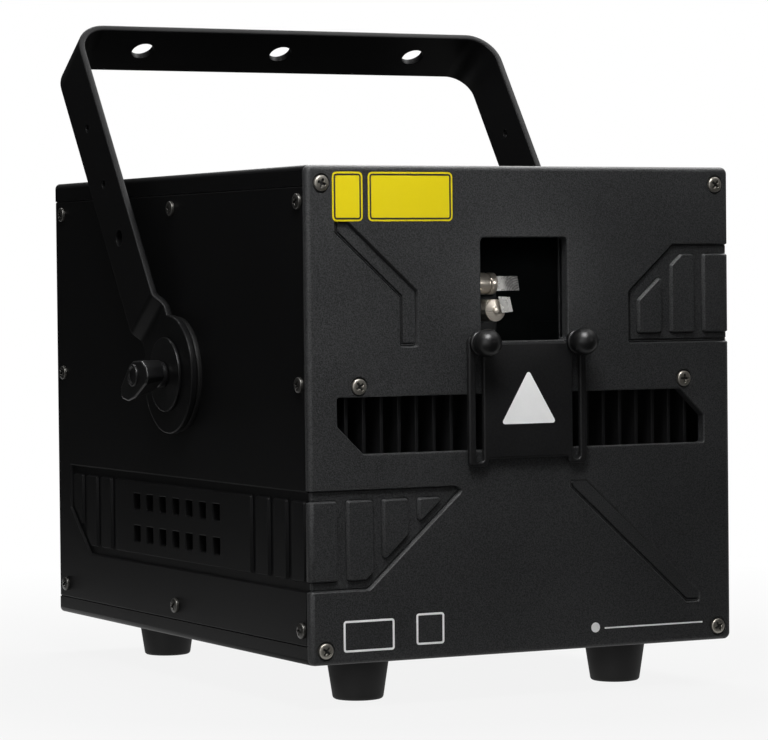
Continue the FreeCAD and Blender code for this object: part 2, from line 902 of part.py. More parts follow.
def make_screws():
    seat = front + s.screw_seat
    long_screws = [screw("y", -1, seat, place, rim_back + s.screw_grip - seat) for place in front_screws]
    short_screws = [screw("y", -1, seat, place, plate_back + s.fin_bar_depth - seat) for place in vent_screws]
    node("front_screws", group(*long_screws, *short_screws))
    length = s.side_thick + s.screw_grip
    panel_screws = []
    for place in side_screws + rail_side_screws:
        panel_screws += [screw("x", -1, -half, place, length), screw("x", 1, half, place, length)]
    node("side_screws", group(*panel_screws))
    length = s.sheet_thick + s.screw_grip
    node("rail_screws", group(*[screw("z", out, level, place, length)
                                for place in rail_screws for out, level in ((-1, low), (1, high))]))
    length = s.rear_thick + s.screw_grip
    node("rear_screws", group(*[screw("y", 1, rear_face, place, length) for place in rear_screws]))


def make_feet():
    rubber, fasteners = [], []
    bore_top = s.foot_bore_depth
    nut_top = floor + s.foot_nut_height
    for x, y in feet:
        cone = doc.addObject("Part::Cone", "foot")
        bind(cone, Radius1=s.foot_low_radius, Radius2=s.foot_top_radius, Height=s.foot_height)
        move(cone, (x, y, 0))
        bore = rod("z", -s.overrun, bore_top, (x, y), s.foot_bore_radius)
        rubber.append(cut(cone, bore, rod("z", bore_top - s.overrun, low + s.overrun, (x, y), hole_radius)))
        length = nut_top + s.overrun - bore_top
        fasteners.append(screw("z", -1, bore_top, (x, y), length))
        thread = rod("z", floor - s.overrun, nut_top + s.overrun, (x, y), s.screw_radius + s.run_gap)
        fasteners.append(cut(rod("z", floor, nut_top, (x, y), s.foot_nut_radius), thread))
    node("rubber_feet", group(*rubber))
    node("foot_fasteners", group(*fasteners))


def make_window():
    middle_z = (aperture_low + aperture_high) / 2
    half_x = s.aperture_width / 2
    half_z = s.aperture_height / 2

    def slab(grow, y0, y1):
        wide, tall = half_x + grow, half_z + grow
        return block((-wide, wide), (y0, y1), around(middle_z, tall))

    glass_back = plate_back + s.glass_thick
    node("aperture_glass", slab(s.glass_overlap, plate_back, glass_back))
    frame_back = glass_back + s.retainer_thick
    frame = slab(s.glass_overlap + s.retainer_wall, plate_back, frame_back)
    bed = slab(s.glass_overlap + s.fit_gap, plate_back - s.overrun, glass_back)
    sight = slab(s.fit_gap, plate_back, frame_back + s.overrun)
    node("glass_retainer", cut(frame, bed, sight))


def make_shutter():
    back = front - s.move_gap
    face = back - s.shutter_thick
    shutter = new_body("aperture_shutter")
    wide, arm = s.shutter_width / 2, s.shutter_width / 2 - s.shutter_arm_width
    plate_high = aperture_low - s.shutter_gap
    plate_low = plate_high - s.shutter_height
    arm_low, arm_high = plate_low - s.shutter_arm_reach, plate_high + s.shutter_arm_reach
    outline = polygon([
        (-wide, arm_low), (-arm, arm_low), (-arm, plate_low),
        (arm, plate_low), (arm, arm_low), (wide, arm_low),
        (wide, arm_high), (arm, arm_high), (arm, plate_high),
        (-arm, plate_high), (-arm, arm_high), (-wide, arm_high)])
    reach, slot_round = s.slot_width / 2, s.slot_width * s.slot_round_share
    slots = [rectangle(*around(x, reach), arm_low + s.slot_wall, knob_z + reach, slot_round)
             for x in knobs.values()]
    pad(shutter, "xz", face, back, [outline, *slots])
    washers = []
    collar_back = face - s.move_gap / 2 - s.knob_washer_thick - s.run_gap
    for side, x in knobs.items():
        centre = (x, knob_z)
        washer_back = face - s.move_gap / 2
        washer = rod("y", washer_back - s.knob_washer_thick, washer_back, centre, s.knob_washer_radius)
        washers.append(cut(washer, rod("y", washer_back - s.overrun, washer_back + s.overrun, centre,
                                       s.knob_stud_radius + s.run_gap)))
        collar_front = collar_back - s.knob_collar_thick
        ball = doc.addObject("Part::Sphere", "ball")
        bind(ball, Radius=s.knob_ball_radius)
        move(ball, (x, front - s.knob_ball_offset, knob_z))
        knob = fuse(ball, rod("y", collar_front, collar_back, centre, s.knob_collar_radius),
                    rod("y", collar_front, front + s.knob_stud_depth, centre, s.knob_stud_radius))
        waste = block(around(x, s.knob_collar_radius), (collar_back, plate_back),
                      around(knob_z, s.knob_collar_radius))
        keep = rod("y", collar_back - s.overrun, plate_back + s.overrun, centre, s.knob_stud_radius)
        node(f"shutter_knob_{side}", cut(knob, cut(waste, keep)))
    node("shutter_washers", group(*washers))


def make_vent_fins():
    reach = vent_half - s.fin_thick
    bar_y = (plate_back, plate_back + s.fin_bar_depth)
    z0, z1 = vent_low, vent_high
    bars = [block((-reach, reach), bar_y, (z0 - s.fin_bar_height / 2, z0)),
            block((-reach, reach), bar_y, (z1, z1 + s.fin_bar_height))]
    fins = []
    fins_each_side = steps(reach - s.fin_thick / 2, s.fin_pitch)
    for index in range(-fins_each_side, fins_each_side + 1):
        x = index * s.fin_pitch
        fins.append(block(around(x, s.fin_thick / 2), (plate_back, plate_back + s.fin_depth),
                          (z0 - s.fin_bar_height / 2, z1 + s.fin_bar_height / 2)))
    holes = [rod("y", plate_back - s.overrun, plate_back + s.fin_bar_depth + s.overrun, place, hole_radius)
             for place in vent_screws]
    node("vent_fins", cut(fuse(*bars, *fins), *holes))


def make_yoke():
    # The bar's front profile, cut to its side outline, upright about the pivot and then leaned back.
    disc_out = half + s.slip_thick + s.move_gap + s.yoke_thick
    arm_out = disc_out + s.yoke_joggle
    disc_in, arm_in = disc_out - s.yoke_thick, arm_out - s.yoke_thick
    bottom, start, end = -s.yoke_disc_radius, s.yoke_joggle_start, s.yoke_joggle_end
    top = s.yoke_height
    under = top - s.yoke_thick
    bend_in = s.yoke_bend - s.yoke_thick
    profile = polygon([
        (-disc_out, bottom), (-disc_out, start), (-arm_out, end), (-arm_out, top),
        (arm_out, top), (arm_out, end), (disc_out, start), (disc_out, bottom),
        (disc_in, bottom), (disc_in, start), (arm_in, end), (arm_in, under),
        (-arm_in, under), (-arm_in, end), (-disc_in, start), (-disc_in, bottom)],
        {3: s.yoke_bend, 4: s.yoke_bend, 11: bend_in, 12: bend_in})
    strip = doc.addObject("PartDesign::Body", "yoke_strip")
    pad(strip, "xz", -s.yoke_disc_radius, s.yoke_disc_radius, [profile])
    outline = fuse(rod("x", -arm_out, arm_out, (0, 0), s.yoke_disc_radius),
                   block((-arm_out, arm_out), (-s.yoke_width / 2, s.yoke_width / 2), (sized(0), top)))
    hole_x = arm_out - s.yoke_hole_side
    holes = [rod("z", under - s.overrun, top + s.overrun, (x, 0), s.yoke_hole_radius)
             for x in (-hole_x, 0, hole_x)]
    for height, radius in ((0, bolt_bore), (s.arm_hole_height, s.arm_hole_radius),
                           (s.arm_small_low, s.arm_small_radius), (s.arm_small_high, s.arm_small_radius)):
        holes.append(rod("x", -arm_out - s.overrun, arm_out + s.overrun, (0, height), radius))
    yoke = node("yoke", cut(common(strip, outline), *holes))
    move(yoke, (0, *pivot), "x", -s.yoke_lean)
    return disc_out


def make_pivots(disc_out):
    slips, washers, blocks = [], [], []
    size = s.pivot_block_size / 2
    washer_in = disc_out + s.move_gap
    washer_out = washer_in + s.clamp_washer_thick
    bore = bolt_bore + s.fit_gap
    block_in = inner - s.pivot_block_thick
    for side, label in ((-1, "clamp_handle_left"), (1, "clamp_handle_right")):
        def span(near, far):
            return (-far, -near) if side < 0 else (near, far)

        through = rod("x", *span(block_in - s.overrun, washer_out + s.overrun), pivot, bore)
        slips.append(cut(rod("x", *span(half, half + s.slip_thick), pivot, s.slip_radius), through))
        washers.append(cut(rod("x", *span(washer_in, washer_out), pivot, s.clamp_washer_radius), through))
        thread = rod("x", *span(block_in - s.overrun, inner + s.overrun), pivot, bolt_bore)
        slab = block(span(block_in, inner), around(pivot[0], size), around(pivot[1], size))
        blocks.append(cut(slab, thread))
        hub_in = washer_out + s.run_gap
        bar_in = hub_in + s.handle_hub_length
        bar_out = bar_in + s.handle_bar_thick
        end = s.handle_bar_length / 2 - s.handle_bar_height / 2
        rise = s.handle_bar_height / 2
        pieces = [rod("x", *span(block_in, bar_in), (0, 0), s.bolt_radius),
                  rod("x", *span(hub_in, bar_in), (0, 0), s.handle_hub_radius),
                  rod("x", *span(bar_in, bar_out + s.handle_cap_height), (0, 0), s.handle_hub_radius),
                  block(span(bar_in, bar_out), (-end, end), (-rise, rise))]
        pieces += [rod("x", *span(bar_in, bar_out), (y, 0), rise) for y in (-end, end)]
        move(node(label, fuse(*pieces)), (0, *pivot), "x", -s.handle_lean)
    node("yoke_slip_washers", group(*slips))
    node("clamp_washers", group(*washers))
    node("pivot_blocks", group(*blocks))


def make_bench():
    y0, y1 = front + s.bench_front, bench_end
    z0 = bench_top - s.bench_thick
    node("optical_bench", block((-bench_half, bench_half), (y0, y1), (z0, bench_top)))
    posts = [rod("z", floor, z0, (side * (bench_half - s.post_side), y), s.post_radius)
             for side in (-1, 1) for y in (y0 + s.post_inset, y1 - s.post_inset)]
    node("bench_posts", group(*posts))


def make_lasers():
    # Three modules share the bench's width; the middle one is in line with the scanners.
    mounts, mirrors = [], []
    beam_z = bench_top + s.beam_height
    colours = ("red", "green", "blue")
    laser_width = ((bench_half - s.laser_margin) * 2 - s.laser_gap * 2) / len(colours)
    motor_end = front + s.block_shelf + s.motor_length
    mirror_y = motor_end + (bench_end - motor_end) * s.mirror_place_share
    for index, colour in enumerate(colours):
        x = (index - 1) * (laser_width + s.laser_gap) + s.scan_x
        y0, y1 = mirror_y + s.mirror_gap, bench_end - s.laser_inset
        z1 = bench_top + s.laser_height
        wide = laser_width / 2
        parts = [block(around(x, wide), (y0, y1), (bench_top, z1)),
                 rod("y", y0 - s.nose_length, y0, (x, beam_z), s.nose_radius)]
        for fin in range(steps(laser_width - s.laser_fin_thick, s.laser_fin_pitch) + 1):
            fin_x = x - wide + fin * s.laser_fin_pitch
            parts.append(block((fin_x, fin_x + s.laser_fin_thick), (y0, y1), (z1, z1 + s.laser_fin_height)))
        node(f"laser_module_{colour}", fuse(*parts))
        place = (x, mirror_y, bench_top)
        half_mirror = s.mirror_width / 2
        mount = block((-half_mirror, half_mirror), (sized(0), s.mount_thick), (sized(0), s.mount_height))
        mirror = block((-half_mirror, half_mirror), (-s.mirror_thick, sized(0)),
                       (s.mirror_low, s.mirror_low + s.mirror_height))
        mounts.append(move(group(mount), place, "z", s.mirror_angle))
        mirrors.append(move(group(mirror), place, "z", s.mirror_angle))
    node("mirror_mounts", group(*mounts))
    node("combiner_mirrors", group(*mirrors))


def make_scanners():
    upper = (front + s.scan_y, aperture_low + s.scan_upper_rise)
    lower = (s.scan_x, aperture_low + s.scan_lower_rise)
    step = -s.block_step
    shelf = front + s.block_shelf
    tower = block((-s.block_left, step), (front + s.block_front, front + s.block_rear),
                  (bench_top, upper[1] + s.block_wall))
    bench = block((step, s.block_right), (shelf, front + s.block_rear), (bench_top, lower[1] + s.block_wall))
    bore = s.motor_radius + s.run_gap
    node("scanner_block", cut(
        fuse(tower, bench),
        rod("x", -s.block_left - s.overrun, step + s.overrun, upper, bore),
        rod("y", shelf - s.overrun, front + s.block_rear + s.overrun, lower, bore)))
    seat = s.scan_shaft_seat
    shaft_bore = s.scan_shaft_radius + s.run_gap
    node("scanner_motor_upper", cut(
        rod("x", step - s.motor_length, step, upper, s.motor_radius),
        rod("x", step - seat, step + s.overrun, upper, shaft_bore)))
    node("scanner_motor_lower", cut(
        rod("y", shelf, shelf + s.motor_length, lower, s.motor_radius),
        rod("y", shelf - s.overrun, shelf + seat, lower, shaft_bore)))
    # Each mirror lies along its shaft's axis, built about the axis and then tilted.
    wide, thick = s.scan_mirror_width / 2, s.scan_mirror_thick / 2
    collar_end = s.scan_collar_gap + s.scan_collar_length
    tip = collar_end + s.scan_mirror_length
    play = s.run_gap
    upper_mirror = fuse(
        rod("x", -seat + play, collar_end, (0, 0), s.scan_shaft_radius),
        rod("x", s.scan_collar_gap, collar_end, (0, 0), s.scan_collar_radius),
        block((collar_end, tip), (-wide, wide), (-thick, thick)))
    move(node("scan_mirror_upper", upper_mirror), (step, *upper), "x", s.scan_mirror_tilt)
    lower_mirror = fuse(
        rod("y", -collar_end, seat - play, (0, 0), s.scan_shaft_radius),
        rod("y", -collar_end, -s.scan_collar_gap, (0, 0), s.scan_collar_radius),
        block((-wide, wide), (-tip, -collar_end), (-thick, thick)))
    move(node("scan_mirror_lower", lower_mirror), (lower[0], shelf, lower[1]), "y", s.scan_mirror_tilt)


def make_electronics():
    # The supply is a hollow case with a row of air slots in its lid.
    x0, x1 = s.supply_side - inner, s.supply_right
    y0, y1 = front + s.supply_front, rear_back - s.supply_rear_gap
    top = floor + s.supply_height
    wall = s.supply_wall
    slots = []
    gaps = steps(y1 - y0 - s.supply_slot_end * 2, s.supply_slot_pitch)
    for index in range(gaps + 1):
        slot_y = (y0 + y1) / 2 + (index - gaps / 2) * s.supply_slot_pitch
        slots.append(block((x0 + s.supply_slot_inset, x1 - s.supply_slot_inset),
                           around(slot_y, s.supply_slot_width / 2),
                           (top - wall - s.overrun, top + s.overrun)))
    cavity = block((x0 + wall, x1 - wall), (y0 + wall, y1 - wall), (floor + wall, top - wall))
    node("power_supply", cut(block((x0, x1), (y0, y1), (floor, top)), cavity, *slots))
    spacers = []
    x0, x1 = s.supply_right + s.board_gap, inner - s.board_side
    board_length = (y1 - y0 - s.board_spacing) / 2
    for index, label in enumerate(("scanner_driver_board", "laser_driver_board")):
        start = y0 + index * (board_length + s.board_spacing)
        stop = start + board_length
        board_low = floor + s.board_lift
        board_top = board_low + s.board_thick
        middle = (x0 + x1) / 2
        sink_end = stop - s.board_inset
        sink = block(around(middle, s.sink_width / 2), (sink_end - s.sink_length, sink_end),
                     (board_top, board_top + s.sink_height))
        chips = [block((x, x + s.chip_size), (start + s.board_inset, start + s.board_inset + s.chip_size),
                       (board_top, board_top + s.chip_height)) for x in (x0 + s.board_inset * 2, middle)]
        node(label, fuse(block((x0, x1), (start, stop), (board_low, board_top)), sink, *chips))
        spacers += [rod("z", floor, board_low, (x, y), s.spacer_radius)
                    for x in (x0 + s.board_inset, x1 - s.board_inset)
                    for y in (start + s.board_inset, stop - s.board_inset)]
    return spacers


def rear_cutouts():
    cutouts = [circle(place, hole_radius) for place in rear_screws]
    for side in (-1, 1):
        cutouts.append(circle((side * fan_x, fan_z), fan_bore))
        cutouts += [circle(place, hole_radius) for place in fan_corners(side)]
    wide, tall = s.display_width / 2, s.display_height / 2
    cutouts.append(rectangle(*around(display_x, wide), *around(high - s.display_top, tall)))
    cutouts += [circle((x, high - s.button_top), s.button_radius + s.move_gap) for x in button_places()]
    wide, tall = s.inlet_width / 2 + s.fit_gap, s.inlet_height / 2 + s.fit_gap
    cutouts.append(rectangle(*around(s.inlet_side - inner, wide), *around(inlet_z, tall)))
    cutouts.append(circle((s.key_x, high - s.key_top), s.key_body_radius + s.fit_gap))
    cutouts += [circle((x, high - s.data_top), s.data_radius + s.fit_gap) for x in data_places()]
    wide, tall = s.signal_width / 2 + s.fit_gap, s.signal_height / 2 + s.fit_gap
    cutouts.append(rectangle(*around(inner - s.signal_side, wide), *around(high - s.signal_top, tall)))
    return cutouts


def fan_corners(side):
    reach = fan_size / 2 - s.fan_screw_inset
    return [(side * fan_x + x * reach, fan_z + z * reach) for x in (-1, 1) for z in (-1, 1)]


def button_places():
    middle = (len(button_names) - 1) / 2
    return [display_x + (index - middle) * s.button_pitch for index in range(len(button_names))]


def data_places():
    return [inner - s.data_side - index * s.data_pitch for index in (1, 0)]


def make_rear_panel():
    panel = new_body("rear_panel")
    pad(panel, "xz", rear_back, rear_face, [rectangle(-inner + s.fit_gap, inner - s.fit_gap, floor, ceiling)])
    pocket(panel, "xz", rear_back, s.rear_thick, rear_cutouts())
    edge_holes = [circle(place, hole_radius) for place in side_screws if place[0] is side_ends[1]]
    depth = s.screw_grip + s.overrun
    pocket(panel, "yz", -inner, depth, edge_holes)
    pocket(panel, "yz", inner, depth, edge_holes, towards=-1)


def make_fans():
    frames, guards, screws = [], [], []
    z = fan_z
    size = fan_size / 2
    y0 = rear_back - s.fan_depth
    carrier_back = y0 + s.fan_carrier_thick
    pin_end = carrier_back + s.fan_pin_length
    seat = rear_face + s.guard_thick
    length = s.guard_thick + s.rear_thick + s.screw_grip
    for side, label in ((-1, "fan_rotor_left"), (1, "fan_rotor_right")):
        x = side * fan_x
        corners = fan_corners(side)
        screw_end = rear_back - s.screw_grip - s.overrun
        holes = [rod("y", screw_end, rear_back + s.overrun, place, hole_radius) for place in corners]
        shell = cut(block(around(x, size), (y0, rear_back), around(z, size)),
                    rod("y", y0 - s.overrun, rear_back + s.overrun, (x, z), fan_bore), *holes)
        reach, strut = fan_bore + s.fan_wall / 2, s.fan_strut_width / 2
        frames.append(fuse(
            shell,
            rod("y", y0, carrier_back, (x, z), fan_hub - s.fan_carrier_step),
            block(around(x, reach), (y0, carrier_back), around(z, strut)),
            block(around(x, strut), (y0, carrier_back), around(z, reach)),
            rod("y", y0, pin_end, (x, z), s.fan_pin_radius)))
        make_rotor(label, x, carrier_back + s.fan_hub_gap, z, pin_end)
        lugs = [rod("y", rear_face, seat, place, s.guard_lug_radius) for place in corners]
        lug_ends = (rear_face - s.overrun, seat + s.overrun)
        lug_holes = [rod("y", *lug_ends, place, hole_radius) for place in corners]
        guards.append(cut(fuse(*guard_wires(x, rear_face, z), *lugs), *lug_holes))
        screws += [screw("y", 1, seat, place, length) for place in corners]
    node("fan_frames", group(*frames))
    node("fan_guards", group(*guards))
    node("fan_screws", group(*screws))


def make_rotor(label, x, y0, z, pin_end):
    # Built about the pin's axis at the origin; the blades stand round the hub at a pitch.
    hub = rod("y", sized(0), s.fan_hub_length, (0, 0), fan_hub)
    blades = []
    overlap = s.fan_blade_thick
    wide, thick = s.fan_blade_width / 2, s.fan_blade_thick / 2
    for index in range(blade_count):
        blade = block((-wide, wide), (-thick, thick), (fan_hub - overlap, fan_bore - s.fan_blade_gap))
        pitched = move(group(blade), (0, s.fan_hub_length / 2, 0), "z", s.fan_blade_pitch)
        blades.append(move(group(pitched), (0, 0, 0), "y", index * 360 / blade_count))
    bore = rod("y", -s.overrun, pin_end - y0 + s.run_gap, (0, 0), s.fan_pin_radius + s.run_gap)
    node(label, move(cut(fuse(hub, *blades), bore), (x, y0, z)))


def guard_wires(x, y0, z):
    # Rings and crossed spokes of one flat stamping.
    y1 = y0 + s.guard_thick
    wires = []
    for index in range(steps(fan_bore, s.guard_ring_pitch)):
        radius = (index + 1) * s.guard_ring_pitch
        wires.append(cut(rod("y", y0, y1, (x, z), radius + s.guard_wire / 2),
                         rod("y", y0 - s.overrun, y1 + s.overrun, (x, z), radius - s.guard_wire / 2)))
    reach = (fan_size / 2 - s.fan_screw_inset) * root(sized(2)) - s.guard_lug_radius / 2
    for turn in (spoke_turn, -spoke_turn):
        spoke = block((-s.guard_wire / 2, s.guard_wire / 2), (sized(0), s.guard_thick), (-reach, reach))
        wires.append(move(group(spoke), (x, y0, z), "y", turn))
    return wires


def make_controls(spacers):
    board_back = rear_back - s.display_depth
    board_front = board_back - s.board_thick
    left, right = control_ends
    z1 = high - s.control_top
    z0 = z1 - s.control_height
    button_z = high - s.button_top
    switch = s.switch_size / 2
    switches = [block(around(x, switch), (board_back, board_back + s.switch_height), around(button_z, switch))
                for x in button_places()]
    node("control_board", fuse(block((left, right), (board_front, board_back), (z0, z1)), *switches))
    spacers += [rod("y", board_back, rear_back, (x, z), s.spacer_radius)
                for x in (left + s.board_inset, right - s.board_inset)
                for z in (z0 + s.control_inset, z1 - s.control_inset)]
    node("board_spacers", group(*spacers))
    wide, tall = s.display_width / 2, s.display_height / 2
    middle = high - s.display_top
    border = s.display_border
    back = block(around(display_x, wide + border), (board_back, rear_back), around(middle, tall + border))
    pane = block(around(display_x, wide - s.fit_gap), (rear_back, rear_face - s.display_recess),
                 around(middle, tall - s.fit_gap))
    node("display", fuse(back, pane))
    for label, x in zip(button_names, button_places()):
        inner_end = board_back + s.switch_height + s.button_travel + s.move_gap / 2
        flange_back = rear_back - s.move_gap / 2
        flange_front = flange_back - s.button_flange_thick
        cap = rod("y", inner_end, rear_face + s.button_proud, (x, button_z), s.button_radius)
        flange = rod("y", flange_front, flange_back, (x, button_z), s.button_flange_radius)
        node(label, fuse(cap, flange))


def make_inlet():
    # A mains inlet with a rocker switch beside its socket, in one flanged housing.
    x, z = s.inlet_side - inner, inlet_z
    wide, tall = s.inlet_width / 2, s.inlet_height / 2
    border = s.flange_border
    face = rear_face + s.flange_thick
    body = block(around(x, wide), (face - s.inlet_depth, face), around(z, tall))
    flange = block(around(x, wide + border), (rear_face, face), around(z, tall + border))
    socket_left = x - wide + s.inlet_socket_inset
    socket_x = (socket_left, socket_left + s.inlet_socket_width)
    socket = block(socket_x, (face - s.inlet_socket_depth, face + s.overrun),
                   around(z, s.inlet_socket_height / 2))
    rocker_x = x + wide - s.inlet_socket_inset - s.rocker_width / 2
    gap = s.move_gap
    well = block(around(rocker_x, s.rocker_width / 2 + gap),
                 (face - s.rocker_depth - s.overrun, face + s.overrun),
                 around(z, s.rocker_height / 2 + gap))
    pin_reach = s.rocker_width / 2 + gap + s.rocker_pin_length
    trunnion_y = face - s.rocker_depth / 2
    bearing_radius = s.rocker_pin_radius + s.run_gap
    bearing = rod("x", *around(rocker_x, pin_reach), (trunnion_y, z), bearing_radius)
    middle = (socket_x[0] + socket_x[1]) / 2
    pins = []
    for column in (-1, 0, 1):
        pin_x = middle + column * s.inlet_pin_spacing
        pin_z = z + (s.inlet_pin_rise if column == 0 else -s.inlet_pin_rise)
        start = face - s.inlet_socket_depth - s.overrun
        pins.append(block(around(pin_x, s.inlet_pin_width / 2), (start, start + s.inlet_pin_length),
                          around(pin_z, s.inlet_pin_height / 2)))
    node("power_inlet", fuse(cut(fuse(body, flange), socket, well, bearing), *pins))
    # The rocker's face is a shallow V, so that one half is pressed in at either end of its swing.
    slope = s.rocker_proud / (s.rocker_height / 2)
    end_rise = s.rocker_proud
    half_height = s.rocker_height / 2 - s.move_gap * 2
    wedge = polygon([
        (-s.rocker_depth / 2, -half_height / 2), (-s.rocker_depth / 2, half_height / 2),
        (sized(0), half_height), (s.rocker_depth / 2 + end_rise, half_height),
        (s.rocker_depth / 2 + end_rise - half_height * slope, sized(0)),
        (s.rocker_depth / 2 + end_rise, -half_height), (sized(0), -half_height)])
    solid = doc.addObject("PartDesign::Body", "rocker_wedge")
    pad(solid, "yz", -s.rocker_width / 2, s.rocker_width / 2, [wedge])
    trunnion = rod("x", -pin_reach + s.run_gap, pin_reach - s.run_gap, (0, 0), s.rocker_pin_radius)
    rocker = node("power_rocker", fuse(solid, trunnion))
    move(rocker, (rocker_x, trunnion_y, z), "x", s.rocker_angle)


def make_key_switch():
    centre = (s.key_x, high - s.key_top)
    face = rear_face + s.flange_thick
    barrel_back = face - s.key_barrel_length
    node("key_switch", cut(
        fuse(rod("y", rear_face, face, centre, s.key_flange_radius),
             rod("y", rear_face - s.key_body_length, face, centre, s.key_body_radius)),
        rod("y", barrel_back, face + s.overrun, centre, s.key_barrel_radius + s.run_gap)))
    tip = face + s.key_barrel_proud
    slot = block(around(centre[0], s.key_slot_width / 2), (tip - s.key_slot_depth, tip + s.overrun),
                 around(centre[1], s.key_slot_length / 2))
    node("key_barrel", cut(rod("y", barrel_back + s.run_gap, tip, centre, s.key_barrel_radius), slot))


def make_sockets():
    face = rear_face + s.flange_thick
    z = high - s.data_top
    sockets = []
    for x in data_places():
        wide, tall = s.data_width / 2, s.data_height / 2
        shell = fuse(block(around(x, wide), (rear_face, face), around(z, tall)),
                     rod("y", face - s.data_depth, face, (x, z), s.data_radius))
        hollow = rod("y", face - s.data_recess_depth, face + s.overrun, (x, z), s.data_recess_radius)
        start = face - s.data_recess_depth - s.overrun
        ring = s.data_pin_circle
        spots = [(x - ring, z), (x + ring, z), (x, z - ring)]
        pins = [rod("y", start, start + s.data_pin_length, place, s.data_pin_radius) for place in spots]
        sockets.append(fuse(cut(shell, hollow), *pins))
    node("data_sockets", group(*sockets))
    x, z = inner - s.signal_side, high - s.signal_top
    wide, tall, wall = s.signal_width / 2, s.signal_height / 2, s.signal_wall
    shell = fuse(block(around(x, wide), (face - s.signal_depth, face), around(z, tall)),
                 block(around(x, wide + s.signal_ear), (rear_face, face), around(z, tall + wall)))
    hollow = block(around(x, wide - wall), (face - s.signal_recess, face + s.overrun), around(z, tall - wall))
    node("scan_signal_socket", cut(shell, hollow))


make_front_panel()
make_side_panel("side_panel_left", -1)
make_side_panel("side_panel_right", 1)
foot_holes = [circle(place, hole_radius) for place in feet]
sheet_holes = [circle(place, hole_radius) for place in rail_screws]
make_sheet("base_tray", low, 1, s.tray_flange, sheet_holes + foot_holes)
make_sheet("top_cover", high, -1, s.cover_flange, sheet_holes)
make_rails()
make_screws()
make_feet()
make_window()
make_shutter()
make_vent_fins()
make_pivots(make_yoke())
make_bench()
make_lasers()
make_scanners()
make_rear_panel()
make_fans()
make_controls(make_electronics())
make_inlet()
make_key_switch()
make_sockets()
doc.recompute()

# Nothing is written unless every object is sound and every pocket has cut.
for thing in doc.Objects:
    if "Invalid" in thing.State or "Error" in thing.State:
        raise RuntimeError(f"{thing.Label}: {thing.State}")
    if thing.TypeId == "PartDesign::Pocket" and thing.Shape.Volume >= thing.BaseFeature.Shape.Volume:
        raise RuntimeError(f"{thing.Label} cuts nothing")
for label, thing in nodes.items():
    if thing.Shape.isNull() or not thing.Shape.isValid():
        raise RuntimeError(f"{label}: bad shape")

os.makedirs("parts", exist_ok=True)
for label, thing in nodes.items():
    thing.Shape.exportStep(f"parts/{label}.step")
    print(label, len(thing.Shape.Solids), "solids", round(thing.Shape.Volume), "mm3")
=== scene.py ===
import math

import bmesh
import bpy
from mathutils import Matrix, Vector
from mathutils.geometry import delaunay_2d_cdt


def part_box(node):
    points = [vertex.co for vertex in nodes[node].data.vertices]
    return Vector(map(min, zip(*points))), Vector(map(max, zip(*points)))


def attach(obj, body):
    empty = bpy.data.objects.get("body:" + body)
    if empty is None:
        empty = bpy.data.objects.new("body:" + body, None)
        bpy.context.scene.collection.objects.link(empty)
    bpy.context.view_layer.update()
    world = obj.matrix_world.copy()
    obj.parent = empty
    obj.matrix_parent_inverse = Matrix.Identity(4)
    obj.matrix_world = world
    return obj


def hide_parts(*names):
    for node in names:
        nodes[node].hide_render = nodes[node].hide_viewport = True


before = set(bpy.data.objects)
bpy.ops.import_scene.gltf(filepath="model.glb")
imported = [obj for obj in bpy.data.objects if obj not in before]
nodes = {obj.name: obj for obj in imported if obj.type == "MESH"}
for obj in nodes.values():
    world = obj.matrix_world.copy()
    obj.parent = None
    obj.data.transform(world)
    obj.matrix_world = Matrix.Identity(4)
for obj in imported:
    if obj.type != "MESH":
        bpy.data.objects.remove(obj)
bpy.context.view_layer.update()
mm = 0.001
sides = (("left", -1), ("right", 1))
print("stage: frame loaded")


# outlines, in millimetres, running counter-clockwise

def turned(corners):
    points = [Vector(c) for c in corners]
    area = sum(a.x * b.y - b.x * a.y for a, b in zip(points, points[1:] + points[:1]))
    return points if area > 0 else points[::-1]


def mirrored(points):
    return points + [(-x, y) for x, y in reversed(points)]


def softCorner(before, here, after, radius, steps, most):
    # the arc in place of a corner, over at most that share of either side
    into, away = here - before, after - here
    a, b = into.normalized(), away.normalized()
    turn = math.atan2(a.x * b.y - a.y * b.x, a.dot(b))
    if radius <= 0 or abs(turn) < 0.01:
        return [here]
    slope = math.tan(abs(turn) / 2)
    reach = min(radius * slope, most * into.length, most * away.length)
    start = here - a * reach
    centre = start + Vector((-a.y, a.x)) * math.copysign(reach / slope, turn)
    return [centre + Matrix.Rotation(turn * k / steps, 2) @ (start - centre) for k in range(steps + 1)]


def rounded(corners, radius, steps=4):
    loop = turned(corners)
    return [p for before, here, after in zip(loop[-1:] + loop, loop, loop[1:] + loop[:1])
            for p in softCorner(before, here, after, radius, steps, 0.48)]


def easedPath(points, radius, steps=3):
    # an open line with its inner corners rounded
    line = [Vector(p) for p in points]
    path = line[:1]
    for before, here, after in zip(line, line[1:], line[2:]):
        path += softCorner(before, here, after, radius, steps, 0.45)
    return path + line[-1:]


def rectangle(left, low, right, high, radius=0, steps=4):
    return rounded([(left, low), (right, low), (right, high), (left, high)], radius, steps)


def boxAround(across, up, wide, high, radius, steps):
    return rectangle(across - wide / 2, up - high / 2, across + wide / 2, up + high / 2, radius, steps)


def circle(across, up, radius, steps=24):
    angles = [math.tau * k / steps for k in range(steps)]
    return [Vector((across + radius * math.cos(a), up + radius * math.sin(a))) for a in angles]


def outward(points):
    # the unit step to the right of each stretch of a line
    ways = [(b - a).normalized() for a, b in zip(points, points[1:])]
    return [Vector((way.y, -way.x)) for way in ways]


def grown(loop, distance):
    out = outward(loop + loop[:1])
    return [p + (a + b) * (distance / max(0.2, 1 + a.dot(b))) for p, a, b in zip(loop, out[-1:] + out, out)]


